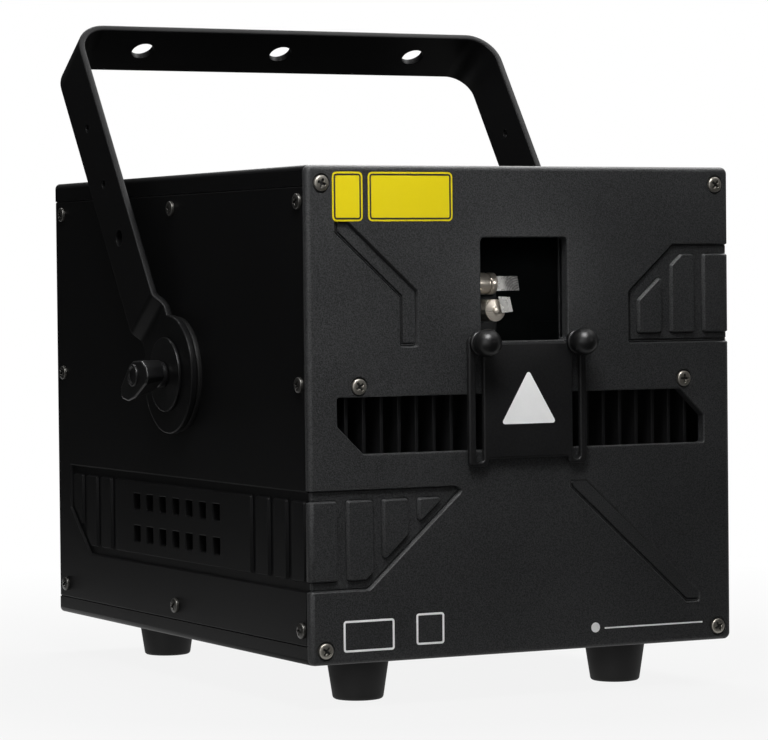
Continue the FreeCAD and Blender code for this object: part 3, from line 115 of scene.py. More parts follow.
def strip(points, wide):
    # a thin closed outline along an open line
    out = outward(points)
    steps = [(a + b) * (wide / 2 / (1 + a.dot(b))) for a, b in zip(out[:1] + out, out + out[-1:])]
    left = [p - step for p, step in zip(points, steps)]
    right = [p + step for p, step in zip(points, steps)]
    return turned(left + right[::-1])


def within(point, loop):
    inside = False
    px, py = point
    x1, y1 = loop[-1]
    for x2, y2 in loop:
        if (y1 > py) != (y2 > py) and px < (x2 - x1) * (py - y1) / (y2 - y1) + x1:
            inside = not inside
        x1, y1 = x2, y2
    return inside


def onLoop(point, loop, reach=0.002):
    for a, b in zip(loop, loop[1:] + loop[:1]):
        span = b - a
        share = max(0.0, min(1.0, (point - a).dot(span) / max(span.length_squared, 1e-9)))
        if (a + span * share - point).length < reach:
            return True
    return False


# meshes

class Shape:
    def __init__(self):
        self.points, self.faces, self.soft, self.slots = [], [], [], []

    def add(self, points, faces, soft=True, slot=0):
        base = len(self.points)
        self.points += [Vector(p) for p in points]
        self.faces += [[base + v for v in face] for face in faces]
        self.soft += soft if isinstance(soft, list) else [soft] * len(faces)
        self.slots += [slot] * len(faces)

    def mesh(self, name, materials, crease=36):
        made = bpy.data.meshes.new(name)
        made.from_pydata([p * mm for p in self.points], [], self.faces)
        made.polygons.foreach_set("use_smooth", self.soft)
        made.polygons.foreach_set("material_index", self.slots)
        for material in materials:
            made.materials.append(material)
        work = bmesh.new()
        work.from_mesh(made)
        bmesh.ops.remove_doubles(work, verts=work.verts, dist=2e-6)
        bmesh.ops.dissolve_degenerate(work, edges=work.edges, dist=1e-6)
        bmesh.ops.delete(work, geom=[v for v in work.verts if not v.link_faces], context="VERTS")
        bmesh.ops.recalc_face_normals(work, faces=work.faces)
        work.to_mesh(made)
        work.free()
        soft = [face.use_smooth for face in made.polygons]
        made.set_sharp_from_angle(angle=math.radians(crease))
        made.polygons.foreach_set("use_smooth", soft)
        return made

    def make(self, name, materials, body, slot, *replaced, crease=36):
        return piece(name, self.mesh(name, materials, crease), body, slot, *replaced)


def placed(name, data):
    made = bpy.data.objects.new(name, data)
    bpy.context.scene.collection.objects.link(made)
    return made


def piece(name, mesh, body, slot, *replaced):
    made = placed(name, mesh)
    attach(made, body)
    if replaced:
        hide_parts(*replaced)
    return made


# One plate from its outlines: the rims are rounded, and the reliefs have sloping walls.
# A relief is (outline, depth outside, depth inside, width of its wall),
# and where they differ from the plain ones, (profile of the wall, shift of its inner edge).
slopeProfile = [(0, 0), (0.12, 0.05), (0.28, 0.2), (0.72, 0.8), (0.88, 0.95), (1, 1)]
gutterProfile = [(0, 0), (0.1, 0.06), (0.22, 0.22), (0.5, 0.86), (0.6, 1.15), (0.68, 1.4), (0.84, 1.4),
                 (1, 1)]
padProfile = [(0, 0), (0.1, -0.25), (0.22, -0.3), (0.32, 0), (0.42, 0.12), (0.8, 0.86), (0.92, 0.97), (1, 1)]


def plate(shape, outline, thick, bend, holes=(), edge=0, holeEdge=0, steps=3, reliefs=(), folds=(),
          curved=None, slot=0):
    loops, regions = [], []
    for loop, size, sign in [(outline, edge, 1)] + [(h, holeEdge, -1) for h in holes]:
        if size <= 0:
            loops.append((loop, None, None))
            continue
        for k in range(steps + 1):
            angle = math.pi / 2 * k / steps
            drop = size - size * math.cos(angle)
            loops.append((grown(loop, sign * (size * math.sin(angle) - size)), drop, thick - drop))
    for loop, outside, inside, wide, *more in reliefs:
        profile, shift = more or (slopeProfile, (0, 0))
        for share, rise in profile:
            ring = [p + Vector(shift) * share for p in grown(loop, wide * (0.5 - share))]
            loops.append((ring, outside + (inside - outside) * rise, thick))
        regions.append((ring, inside))
    loops += [(fold, None, None) for fold in folds]
    points, links, owner = [], [], []
    for index, (loop, _, _) in enumerate(loops):
        base, count = len(points), len(loop)
        points += loop
        owner += [index] * count
        links += [(base + k, base + (k + 1) % count) for k in range(count if count > 2 else 1)]
    flat, _, faces, origin, _, _ = delaunay_2d_cdt(points, links, [], 0, 1e-4)
    boxes = [(min(p.x for p in loop) - 0.01, min(p.y for p in loop) - 0.01,
              max(p.x for p in loop) + 0.01, max(p.y for p in loop) + 0.01) for loop, _, _ in loops]

    def depths(i):
        at = flat[i]
        near = {owner[k] for k in origin[i]}
        for k, (left, low, right, high) in enumerate(boxes):
            boxed = left < at.x < right and low < at.y < high and loops[k][1] is not None
            if boxed and k not in near and onLoop(at, loops[k][0]):
                near.add(k)
        known = [loops[k] for k in near if loops[k][1] is not None]
        if known:
            return max(k[1] for k in known), min(k[2] for k in known)
        inner = [inside for ring, inside in regions if within(at, ring)]
        return (inner or [0])[-1], thick

    def middle(face):
        return sum((flat[i] for i in face), Vector((0, 0))) / len(face)

    def soft(face, level):
        return len({round(level[i], 4) for i in face}) > 1 or bool(curved and curved(*middle(face)))

    front, rear = zip(*[depths(i) for i in range(len(flat))])
    kept = [f for f in faces if within(middle(f), outline) and not any(within(middle(f), h) for h in holes)]
    rims = dict.fromkeys((a, b) for face in kept for a, b in zip(face, face[1:] + face[:1]))
    walls = [(a, b) for a, b in rims if (b, a) not in rims]
    count = len(flat)
    shape.add([bend(p.x, p.y, front[i], None) for i, p in enumerate(flat)]
              + [bend(p.x, p.y, rear[i], front[i]) for i, p in enumerate(flat)],
              [list(f) for f in kept] + [[count + i for i in reversed(f)] for f in kept]
              + [[b, a, count + a, count + b] for a, b in walls],
              [soft(f, front) for f in kept] + [soft(f, rear) for f in kept] + [True] * len(walls), slot)


def lathe(shape, profile, place, steps=32):
    # profile: (radius, height) from one end to the other; place turns (x, y, height) into the part's frame
    rings, points, faces = [], [], []
    for radius, height in profile:
        count = steps if radius >= 1e-6 else 1
        rings.append(range(len(points), len(points) + count))
        points += [place(radius * math.cos(math.tau * k / steps), radius * math.sin(math.tau * k / steps),
                         height) for k in range(count)]
    for low, high in zip(rings, rings[1:]):
        for k in range(steps):
            n = (k + 1) % steps
            if len(low) == 1 and len(high) > 1:
                faces.append([low[0], high[n], high[k]])
            elif len(high) == 1 and len(low) > 1:
                faces.append([low[k], low[n], high[0]])
            elif len(low) > 1:
                faces.append([low[k], low[n], high[n], high[k]])
    shape.add(points, faces)


def along(axis, middle, sign=1):
    # a lathe's place: its height runs along one axis through a point
    def place(a, b, height):
        spot = [a, b]
        spot.insert("xyz".index(axis), sign * height)
        return Vector(middle) + Vector(spot)

    return place


def plainMesh(holder, name):
    made = bpy.data.meshes.new_from_object(holder.evaluated_get(bpy.context.evaluated_depsgraph_get()))
    made.name = name
    bpy.data.objects.remove(holder)
    return made


ease = {"segments": 2, "sharp": 40, "crease": 32, "curve": (0.01, 0.55), "curveArea": 0.001}


def eased(name, node, body, slot, material, width):
    # a CAD node's shape with its hard edges rounded
    work = bmesh.new()
    work.from_mesh(nodes[node].data)
    bmesh.ops.remove_doubles(work, verts=work.verts, dist=1e-6)
    bmesh.ops.dissolve_limit(work, angle_limit=math.radians(1), verts=work.verts, edges=work.edges)
    least, most = ease["curve"]
    for face in work.faces:
        face.material_index = 0
        bent = any(least < edge.calc_face_angle(0) < most for edge in face.edges)
        face.smooth = bent and face.calc_area() < ease["curveArea"]
    made = bpy.data.meshes.new(name)
    work.to_mesh(made)
    work.free()
    made.materials.clear()
    made.materials.append(material)
    made.materials.append(material)  # the second slot marks the new rims
    holder = placed(name + "Draft", made)
    rim = holder.modifiers.new("rim", "BEVEL")
    rim.width, rim.segments, rim.limit_method = width * mm, ease["segments"], "ANGLE"
    rim.angle_limit, rim.use_clamp_overlap, rim.material = math.radians(ease["sharp"]), True, 1
    result = plainMesh(holder, name)
    soft = [face.use_smooth or face.material_index == 1 for face in result.polygons]
    result.set_sharp_from_angle(angle=math.radians(ease["crease"]))
    result.polygons.foreach_set("use_smooth", soft)
    result.polygons.foreach_set("material_index", [0] * len(soft))
    result.materials.pop(index=1)
    return piece(name, result, body, slot, node)


# shading

class Wire:
    def __init__(self, paint, socket):
        self.paint, self.socket = paint, socket

    def output(self, label):
        return Wire(self.paint, self.socket.node.outputs[label])

    def math(self, operation, other, flipped=False):
        a, b = (other, self) if flipped else (self, other)
        return self.paint.node("ShaderNodeMath", {"operation": operation}, {0: a, 1: b})

    def __add__(self, other):
        return self.math("ADD", other)

    def __radd__(self, other):
        return self.math("ADD", other, True)

    def __sub__(self, other):
        return self.math("SUBTRACT", other)

    def __rsub__(self, other):
        return self.math("SUBTRACT", other, True)

    def __mul__(self, other):
        return self.math("MULTIPLY", other)

    def __rmul__(self, other):
        return self.math("MULTIPLY", other, True)

    def __gt__(self, other):
        return self.math("GREATER_THAN", other)

    def __lt__(self, other):
        return self.math("LESS_THAN", other)


class Paint:
    def __init__(self, tree):
        self.tree = tree

    def feed(self, made, inputs):
        for key, value in inputs.items():
            if isinstance(value, Wire):
                self.tree.links.new(value.socket, made.inputs[key])
            else:
                made.inputs[key].default_value = value

    def node(self, kind, settings=None, inputs=None, output=0):
        made = self.tree.nodes.new(kind)
        for key, value in (settings or {}).items():
            setattr(made, key, value)
        self.feed(made, inputs or {})
        return Wire(self, made.outputs[output])

    def mix(self, share, a, b):
        return self.node("ShaderNodeMix", {"data_type": "RGBA"}, {0: share, 6: a, 7: b}, 2)

    def spot(self):
        return self.node("ShaderNodeTexCoord", output="Object")

    def noise(self, spot, scale, **more):
        return self.node("ShaderNodeTexNoise", {}, {"Vector": spot, "Scale": scale, **more})

    def white(self):
        return self.node("ShaderNodeEmission", {}, {"Color": (1, 1, 1, 1), "Strength": 1.0})


def newPaint(name):
    material = bpy.data.materials.new(name)
    material.use_nodes = True
    return material, Paint(material.node_tree), material.node_tree.nodes["Principled BSDF"]


def rgba(colour, share=1.0):
    return tuple(min(1.0, c * share) for c in colour) + (1.0,)


def finish(name, colour, rough, grain, bump, cloud, metal=0.0, speckle=0.6, drift=0.3, spread=0.35,
           roughDrift=0.1, stretch=None, gloss=0.5):
    # speckle and drift vary the colour by up to spread; grain also gives the bump
    material, paint, surface = newPaint(name)
    spot = paint.spot()
    if stretch:
        spot = paint.node("ShaderNodeMapping", {}, {"Vector": spot, "Scale": stretch})
    fine = paint.noise(spot, grain, Detail=3.0, Roughness=0.6)
    broad = paint.noise(spot, cloud, Detail=2.0)
    tone = 0.5 + (fine - 0.5) * (2 * speckle) + (broad - 0.5) * (2 * drift)
    shade = paint.mix(tone, rgba(colour, 1 - spread), rgba(colour, 1 + spread))
    level = rough + (broad - 0.5) * (2 * roughDrift) + (fine - 0.5) * roughDrift
    paint.feed(surface, {"Base Color": shade, "Roughness": level, "Metallic": metal,
                         "Specular IOR Level": gloss})
    if bump:
        dent = paint.node("ShaderNodeBump", {}, {"Strength": bump, "Distance": 0.0003, "Height": fine})
        paint.feed(surface, {"Normal": dent})
    return material


frontPaint = finish("frontPaint", (0.0226, 0.0231, 0.0238), rough=0.5, grain=1500, speckle=1.9, bump=0.7,
                    spread=0.6, cloud=18, drift=0.15, gloss=0.3)
rearPaint = finish("rearPaint", (0.02, 0.0202, 0.0206), rough=0.48, grain=1500, speckle=1.4, bump=0.5,
                   spread=0.45, cloud=18, drift=0.2, gloss=0.25)
# the case's black paint for the sides, top and base, painted far darker than the front and rear paint:
# painted shade
shadedCasePaint = finish("shadedCasePaint", (0.0028, 0.0028, 0.003), rough=0.45, grain=1200, bump=0.15, cloud=14,
                   drift=0.25, roughDrift=0.03, gloss=0.08)
shutterPaint = finish("shutterPaint", (0.0105, 0.0105, 0.0109), rough=0.42, grain=1000, speckle=0.9, bump=0.3,
                      cloud=25, gloss=0.15)
yokePaint = finish("yokePaint", (0.0036, 0.0036, 0.0038), rough=0.4, grain=1200, speckle=0.5, bump=0.12,
                   cloud=22, drift=0.2, gloss=0.09)
handlePlastic = finish("handlePlastic", (0.0045, 0.0045, 0.0047), rough=0.34, grain=1100, bump=0.08, cloud=60,
                       gloss=0.25)
knobPlastic = finish("knobPlastic", (0.0055, 0.0055, 0.0057), rough=0.34, grain=600, speckle=0.2, bump=0.02,
                     cloud=80, roughDrift=0.04, gloss=0.32)
footRubber = finish("footRubber", (0.0095, 0.0095, 0.0095), rough=0.72, grain=700, speckle=0.5, bump=0.2,
                    cloud=60, gloss=0.35)
screwSteel = finish("screwSteel", (0.27, 0.255, 0.225), rough=0.36, metal=0.85, grain=1500, speckle=0.3,
                    bump=0.04, cloud=300, drift=0.5, spread=0.25)
# the same steel as screwSteel, painted several times darker as shade, for the side, rail, rear and socket
# screws
shadedScrewSteel = finish("shadedScrewSteel", (0.07, 0.068, 0.063), rough=0.34, metal=0.85, grain=1500, speckle=0.3,
                   bump=0.04, cloud=300, drift=0.5, spread=0.25)
washerSteel = finish("washerSteel", (0.0045, 0.0045, 0.0047), rough=0.36, metal=0.2, grain=1200, bump=0.08,
                     cloud=120, gloss=0.2)
slipNylon = finish("slipNylon", (0.0038, 0.0038, 0.0038), rough=0.5, grain=700, bump=0.06, cloud=60,
                   gloss=0.15)
filterFoam = finish("filterFoam", (0.008, 0.008, 0.008), rough=0.9, grain=800, speckle=1.2, bump=0.8,
                    cloud=200, gloss=0.05)
blackAnodised = finish("blackAnodised", (0.008, 0.008, 0.0085), rough=0.45, metal=0.3, grain=1500,
                       speckle=0.3, bump=0.05, cloud=60, gloss=0.3)
bareAluminium = finish("bareAluminium", (0.62, 0.62, 0.64), rough=0.34, metal=1, grain=500, speckle=0.4,
                       bump=0.05, cloud=40, stretch=(1, 0.05, 1), spread=0.15)
laserHousing = finish("laserHousing", (0.5, 0.5, 0.52), rough=0.45, metal=1, grain=1600, bump=0.12, cloud=50,
                      spread=0.15)
motorSteel = finish("motorSteel", (0.66, 0.6, 0.52), rough=0.32, metal=0.6, grain=700, speckle=0.4, bump=0.03,
                    cloud=200, stretch=(0.1, 1, 1), spread=0.2)
mirrorCoating = finish("mirrorCoating", (0.86, 0.87, 0.88), rough=0.06, metal=1, grain=300, speckle=0.2,
                       bump=0.0, cloud=200, spread=0.08, roughDrift=0.02)
supplyCase = finish("supplyCase", (0.6, 0.61, 0.62), rough=0.35, metal=1, grain=900, bump=0.05, cloud=40,
                    spread=0.12)
spacerBrass = finish("spacerBrass", (0.7, 0.55, 0.25), rough=0.28, metal=1, grain=900, bump=0.03, cloud=150,
                     spread=0.15)
fanPlastic = finish("fanPlastic", (0.014, 0.014, 0.0145), rough=0.42, grain=900, bump=0.08, cloud=50)
guardSteel = finish("guardSteel", (0.5, 0.5, 0.51), rough=0.2, metal=1, grain=1200, speckle=0.3, bump=0.02,
                    cloud=200)
socketPlastic = finish("socketPlastic", (0.016, 0.016, 0.0165), rough=0.4, grain=1100, bump=0.08, cloud=80)
socketMetal = finish("socketMetal", (0.44, 0.43, 0.41), rough=0.3, metal=1, grain=1000, bump=0.008, cloud=160,
                     spread=0.15)
buttonPlastic = finish("buttonPlastic", (0.05, 0.05, 0.052), rough=0.4, grain=900, bump=0.05, cloud=90)
markWhite = finish("markWhite", (0.94, 0.94, 0.94), rough=0.45, grain=1800, speckle=0.3, bump=0.03, cloud=120,
                   spread=0.05)
markYellow = finish("markYellow", (0.63, 0.51, 0.004), rough=0.4, grain=1400, speckle=0.3, bump=0.03,
                    cloud=90, spread=0.06)
# dark for the stickers' printed borders and the flags' cards, and the painted shade in the screws' cross
# recesses
darkPrintAndShade = finish("darkPrintAndShade", (0.02, 0.02, 0.02), rough=0.4, grain=1400, speckle=0.3, bump=0.02, cloud=90)


def boardPaint():
    # green solder mask with fine copper tracks and pads
    material, paint, surface = newPaint("circuitBoard")
    spot = paint.spot()
    cells = paint.node("ShaderNodeTexVoronoi", {"feature": "DISTANCE_TO_EDGE"},
                       {"Vector": spot, "Scale": 160.0})
    pads = paint.node("ShaderNodeTexVoronoi", {"feature": "F1"}, {"Vector": spot, "Scale": 220.0}) < 0.12
    tracks = paint.mix(cells < 0.06, rgba((0.012, 0.09, 0.035)), rgba((0.03, 0.17, 0.06)))
    paint.feed(surface, {"Base Color": paint.mix(pads, tracks, rgba((0.5, 0.48, 0.42))),
                         "Roughness": 0.3 + pads * 0.1})
    return material


def windowGlass():
    material, paint, surface = newPaint("windowGlass")
    haze = paint.noise(paint.spot(), 90.0, Detail=2.0)
    film = 0.02 + haze * 0.02
    shade = paint.mix(haze, rgba((0.02, 0.024, 0.024)), rgba((0.03, 0.034, 0.036)))
    paint.feed(surface, {"Base Color": shade, "Roughness": film, "Alpha": film, "Specular IOR Level": 0.25})
    return material


def displayGlass():
    # a dark pane over a faint grid of cells
    material, paint, surface = newPaint("displayGlass")
    spot = paint.spot()
    across = paint.node("ShaderNodeSeparateXYZ", {}, {0: spot})
    columns, rows = [(way * 1400.0).math("FRACT", 0.0) > 0.14 for way in (across, across.output("Z"))]
    cloud = paint.noise(spot, 40.0)
    lit = columns * rows * (0.6 + cloud * 0.4)
    paint.feed(surface, {"Base Color": paint.mix(lit, rgba((0.004, 0.006, 0.012)), rgba((0.012, 0.02, 0.04))),
                         "Roughness": 0.08 + cloud * 0.05, "Coat Weight": 0.6})
    return material


def scanMirrorCoating():
    # a bright coating with a painted reflection: dark and grey rings towards the mirror's free end
    material, paint, surface = newPaint("scanMirror")
    spot = paint.spot()
    across = paint.node("ShaderNodeSeparateXYZ", {}, {0: spot})
    centred = paint.node("ShaderNodeMapping", {}, {"Vector": spot, "Location": (-0.011, 0.1325, -0.206)})
    reflectionRings = paint.node("ShaderNodeTexWave", {"wave_type": "RINGS", "rings_direction": "SPHERICAL"},
                       {"Vector": centred, "Scale": 260.0, "Distortion": 0.6}, 1)
    reflectionShare = paint.node("ShaderNodeMapRange", {}, {"Value": across, "From Min": 0.001, "From Max": 0.004,
                                                   "To Min": 0.0, "To Max": 0.85})
    cloud = paint.noise(spot, 260.0)
    bright = paint.mix(cloud, rgba((0.62, 0.61, 0.58)), rgba((0.8, 0.79, 0.76)))
    paintedReflection = paint.mix(reflectionRings, rgba((0.05, 0.05, 0.05)), rgba((0.32, 0.31, 0.3)))
    paint.feed(surface, {"Base Color": paint.mix(reflectionShare, bright, paintedReflection), "Roughness": 0.22 + cloud * 0.12,
                         "Metallic": 0.5})
    return material


circuitBoard, clearGlass = boardPaint(), windowGlass()
darkPane, scanMirror = displayGlass(), scanMirrorCoating()
print("stage: materials")

# x runs from the middle, y from the front face and z from the body's bottom
face, floorHeight, rearFace = -158.5, 23.0, 170.5


def onFront(shift):
    # a plate's bend: its face lies that far behind the front face
    return lambda u, v, depth, back: (u, face + (depth + shift), v + floorHeight)


def onSide(sign, out):
    return lambda u, v, depth, back: (sign * (out - depth), face + u, v + floorHeight)


def onRear(proud):
    return lambda u, v, depth, back: (u, rearFace + proud - depth, v + floorHeight)


# front panel; its crest and the band run on over the edges, and their pads keep in from their ends
panel = {"half": 124, "high": 250, "corner": 3.5, "bow": 2.5, "lip": 4, "plate": 6, "rim": 15, "wall": 1.3,
         "relief": 1.6, "soften": 1.2, "gutter": 1.3, "padLean": (0.4, -0.1), "holeEdge": 0.7, "past": 20,
         "recessLean": ((0, 0), (0, 0), (0, 0), (-0.55, 0.45)), "recessDeep": (1.6, 0.5, 1.6, 1.6),
         "line": 0.8, "lineDeep": 1.1, "lineIn": 1.4, "lineWall": 0.3,
         "lineCorners": ((0, 5), (0, 4), (2, 5)), "band": (36.9, 86.9), "crest": (158.3, 209.3), "padIn": 5,
         "edgeFrom": 0.6, "edgeWall": 0.8, "screws": ((115.6, 7.3), (115.6, 240.8), (95.6, 139)), "seat": 4.9,
         "seatDeep": 0.8, "seatWall": 0.5, "aperture": (-25.5, 160.5, 25.5, 213.4), "apertureSoft": 2.5,
         "innerGap": 0.1, "innerLow": 2.6, "rimWide": 3, "innerSoft": 1}
coreLow = panel["corner"]
coreSide, coreHigh = panel["half"] - coreLow, panel["high"] - coreLow
flatReach = panel["corner"] - panel["bow"]
arcLength = panel["bow"] * math.pi / 2
skirt = panel["lip"] - panel["bow"]
bandLow, bandHigh = panel["band"]
crestLow, crestHigh = panel["crest"]


def aroundPanel(u, v, depth, back):
    # the flat face, its rounded rim and its edge, unfolded
    nearX, nearZ = max(-coreSide, min(coreSide, u)), max(coreLow, min(coreHigh, v))
    off = Vector((u - nearX, v - nearZ))
    reach = off.length
    if reach <= flatReach:
        return (u, face + (depth if back is None else panel["lip"]), v + floorHeight)
    way = off / reach
    run = reach - flatReach
    angle = min(run / panel["bow"], math.pi / 2)
    out = flatReach + panel["bow"] * math.sin(angle)
    deep = panel["bow"] * (1 - math.cos(angle)) + max(0, run - arcLength)
    drop = depth if back is None else back
    if way.x > 0.5 and v > (bandHigh + crestLow) / 2:  # the crest is cut straight back over the edge
        deep = min(panel["lip"], deep + drop)
    else:
        out, deep = out - drop * math.sin(angle), min(panel["lip"], deep + drop * math.cos(angle))
    if back is not None:
        deep = panel["lip"]
    return (nearX + way.x * out, face + deep, nearZ + way.y * out + floorHeight)


def panelRing(reach):
    return rectangle(-coreSide - reach, coreLow - reach, coreSide + reach, coreHigh + reach, reach, 6)


def onRim(u, v):
    middle = panel["high"] / 2
    return abs(u) > panel["half"] - panel["bow"] or abs(v - middle) > middle - panel["bow"]


def insideRing(gap):
    wide, low = panel["half"] - panel["lip"] - panel["innerGap"] - gap, panel["innerLow"] + gap
    return rectangle(-wide, low, wide, panel["high"] - low, panel["innerSoft"])


beyond = panel["half"] + panel["past"]
padLow, padHigh = bandLow + panel["padIn"], bandHigh - panel["padIn"]
topLow, topHigh = crestLow + panel["padIn"], crestHigh - panel["padIn"]
recesses = [
    [(-107.9, 226), (-107.9, 216.2), (-71.7, 183.6), (-71.7, 158.7), (-62.2, 158.7), (-62.2, 186.5),
     (-106.1, 226)],
    [(26, 87.7), (26, 84.3), (96.2, 21.1), (104.3, 21.1), (104.3, 26), (35.7, 87.7)],
    [(beyond, crestLow), (62.4, crestLow), (62.4, 185), (89.4, crestHigh), (beyond, crestHigh)],
    [(-beyond, bandLow), (-90.6, bandLow), (-37.5, 84.7), (-40.8, bandHigh), (-beyond, bandHigh)],
]
pads = [
    [(68.2, topLow), (82.4, topLow), (82.4, 193.3), (68.2, 180.5)],
    [(88.3, topLow), (102.5, topLow), (102.5, topHigh), (94.6, topHigh), (88.3, 198.6)],
    [(108.4, topLow), (beyond, topLow), (beyond, topHigh), (108.4, topHigh)],
    [(-62.5, padHigh), (-62.5, 69.1), (-48.3, padHigh)],
    [(-82.6, padHigh), (-82.6, 51), (-68.4, 63.8), (-68.4, padHigh)],
    [(-102.7, padHigh), (-102.7, padLow), (-92.7, padLow), (-88.5, 45.7), (-88.5, padHigh)],
    [(-beyond, padLow), (-108.6, padLow), (-108.6, padHigh), (-beyond, padHigh)],
]
ventCorners = [(-107.8, 133.6), (-107.8, 119.2), (-93.2, 105), (107.8, 105), (107.8, 119.4), (93.2, 133.6)]
frontReliefs = [(rounded(r, panel["soften"], 3), 0, low, panel["gutter"], gutterProfile, shift)
                for r, low, shift in zip(recesses, panel["recessDeep"], panel["recessLean"])]
for r, low, (start, stop) in zip(recesses, panel["recessDeep"], panel["lineCorners"]):
    line = grown(turned(r), -panel["lineIn"])[start:stop]  # a fine groove inside the recess, along some edges
    frontReliefs.append((strip(line, panel["line"]), low, low + panel["lineDeep"], panel["lineWall"]))
frontReliefs += [(rounded(p, panel["soften"], 3), panel["relief"], 0, panel["wall"], padProfile,
                  panel["padLean"]) for p in pads]
edgeRing = rectangle(panel["half"] + panel["edgeFrom"], bandLow, beyond, bandHigh, panel["edgeFrom"], 2)
frontReliefs.append((edgeRing, 0, panel["relief"], panel["edgeWall"]))
cornerScrews, middleScrew = panel["screws"][:2], panel["screws"][2]
seats = [(sign * x, z) for sign in (-1, 1) for x, z in cornerScrews]
seats += [(sign * middleScrew[0], middleScrew[1]) for sign in (-1, 1)]
frontReliefs += [(circle(x, z, panel["seat"], 28), 0, panel["seatDeep"], panel["seatWall"]) for x, z in seats]
frontHoles = [rectangle(*panel["aperture"], panel["apertureSoft"], 5),
              rounded(ventCorners, panel["soften"], 3)]
frontShape = Shape()
plate(frontShape, panelRing(flatReach + arcLength + skirt), panel["lip"], aroundPanel, frontHoles, 0,
      panel["holeEdge"], 3, frontReliefs, [panelRing(flatReach + arcLength * k / 5) for k in range(6)], onRim)
plate(frontShape, insideRing(0), panel["plate"] - panel["lip"], onFront(panel["lip"]), frontHoles)
plate(frontShape, insideRing(0), panel["rim"] - panel["plate"], onFront(panel["plate"]),
      [insideRing(panel["rimWide"])])
frontShape.make("frontPanelSkin", [frontPaint], "case", "case_paint", "front_panel")
print("stage: front panel")

# side panels, with dust filters behind their vents and dark strips in the seams above and below
side = {"front": 4.3, "rear": 336, "low": 9.6, "high": 239.3, "thick": 4, "edge": 0.6, "corner": 0.8,
        "relief": 1.6, "wall": 0.9, "recessSoft": 1.5, "padSoft": 1.2, "past": -20, "hole": (9.5, 9, 0.8),
        "holeEdge": 0.4, "firstHole": 113, "pitch": 17.8, "columns": 7, "rows": (53.0, 70.8),
        "pads": ((6.5, 21.7), (27.8, 43), (49.1, 64.3), (70.4, 251.5), (257.6, 272.8)), "seam": (300, 335.8),
        "seamHeights": (9.45, 239.45), "seamHigh": 0.8, "seamOut": 123.3, "seamThick": 2.8,
        "filter": (104, 44, 230, 80, 2), "filterOut": 119.8, "filterThick": 2}
sideRecess = [(side["past"], bandLow), (289.9, bandLow), (318.6, 61.9), (318.6, bandHigh),
              (side["past"], bandHigh)]
sidePads = [[(a, padLow), (b, padLow), (b, padHigh), (a, padHigh)] for a, b in side["pads"]]
sidePads += [[(278.9, padLow), (288, padLow), (294.1, 47.2), (294.1, padHigh), (278.9, padHigh)],
             [(300.2, 52.5), (313.6, 64.2), (313.6, padHigh), (300.2, padHigh)]]
sideReliefs = [(rounded(sideRecess, side["recessSoft"], 3), 0, side["relief"], side["wall"])]
sideReliefs += [(rounded(p, side["padSoft"], 3), side["relief"], 0, side["wall"]) for p in sidePads]
sideHoles = [boxAround(side["firstHole"] + side["pitch"] * i, z, *side["hole"], 2)
             for i in range(side["columns"]) for z in side["rows"]]
sideRing = rectangle(side["front"], side["low"], side["rear"], side["high"], side["corner"], 2)
for name, sign in sides:
    sideShape = Shape()
    plate(sideShape, sideRing, side["thick"], onSide(sign, panel["half"]), sideHoles, side["edge"],
          side["holeEdge"], 3, sideReliefs)
    sideShape.make(name + "SidePanelSkin", [shadedCasePaint], "case", "case_paint", "side_panel_" + name)
seams, filters = Shape(), Shape()
for _, sign in sides:
    for z in side["seamHeights"]:
        seamRing = rectangle(side["seam"][0], z - side["seamHigh"], side["seam"][1], z + side["seamHigh"])
        plate(seams, seamRing, side["seamThick"], onSide(sign, side["seamOut"]))
    plate(filters, rectangle(*side["filter"]), side["filterThick"], onSide(sign, side["filterOut"]))
seams.make("seamStrips", [filterFoam], "case", "slip_nylon")
filters.make("dustFilters", [filterFoam], "case", "slip_nylon")
print("stage: side panels")

# shutter
shutter = {"half": 34.7, "arm": 11, "low": 100.5, "high": 159.6, "armLow": 96.8, "armHigh": 163.3,
           "slot": 28.4, "slotWide": 4.5, "slotLow": 99, "slotHigh": 162, "front": -3.3, "thick": 3,
           "edge": 1.1, "corner": 2.4, "slotEdge": 0.9, "slotSoft": 2.24,
           "mark": ((0, 145.6), (-16.2, 118), (16.2, 118)), "markSoft": 1.2, "markRise": 0.1}
armIn, slotHalf = shutter["half"] - shutter["arm"], shutter["slotWide"] / 2
corners = mirrored([(-shutter["half"], shutter["armLow"]), (-armIn, shutter["armLow"]),
                    (-armIn, shutter["low"])])
corners += mirrored([(shutter["half"], shutter["armHigh"]), (armIn, shutter["armHigh"]),
                     (armIn, shutter["high"])])
slots = [rectangle(x - slotHalf, shutter["slotLow"], x + slotHalf, shutter["slotHigh"],
                   shutter["slotSoft"], 6) for x in (-shutter["slot"], shutter["slot"])]
shutterShape = Shape()
plate(shutterShape, rounded(corners, shutter["corner"]), shutter["thick"], onFront(shutter["front"]), slots,
      shutter["edge"], shutter["slotEdge"], 4)
shutterShape.make("shutterPlate", [shutterPaint], "shutter", "shutter_paint", "aperture_shutter")
markShape = Shape()
plate(markShape, rounded(shutter["mark"], shutter["markSoft"], 3), shutter["markRise"],
      onFront(shutter["front"] - shutter["markRise"]))
markShape.make("shutterMark", [markWhite], "shutter", "shutter_paint")

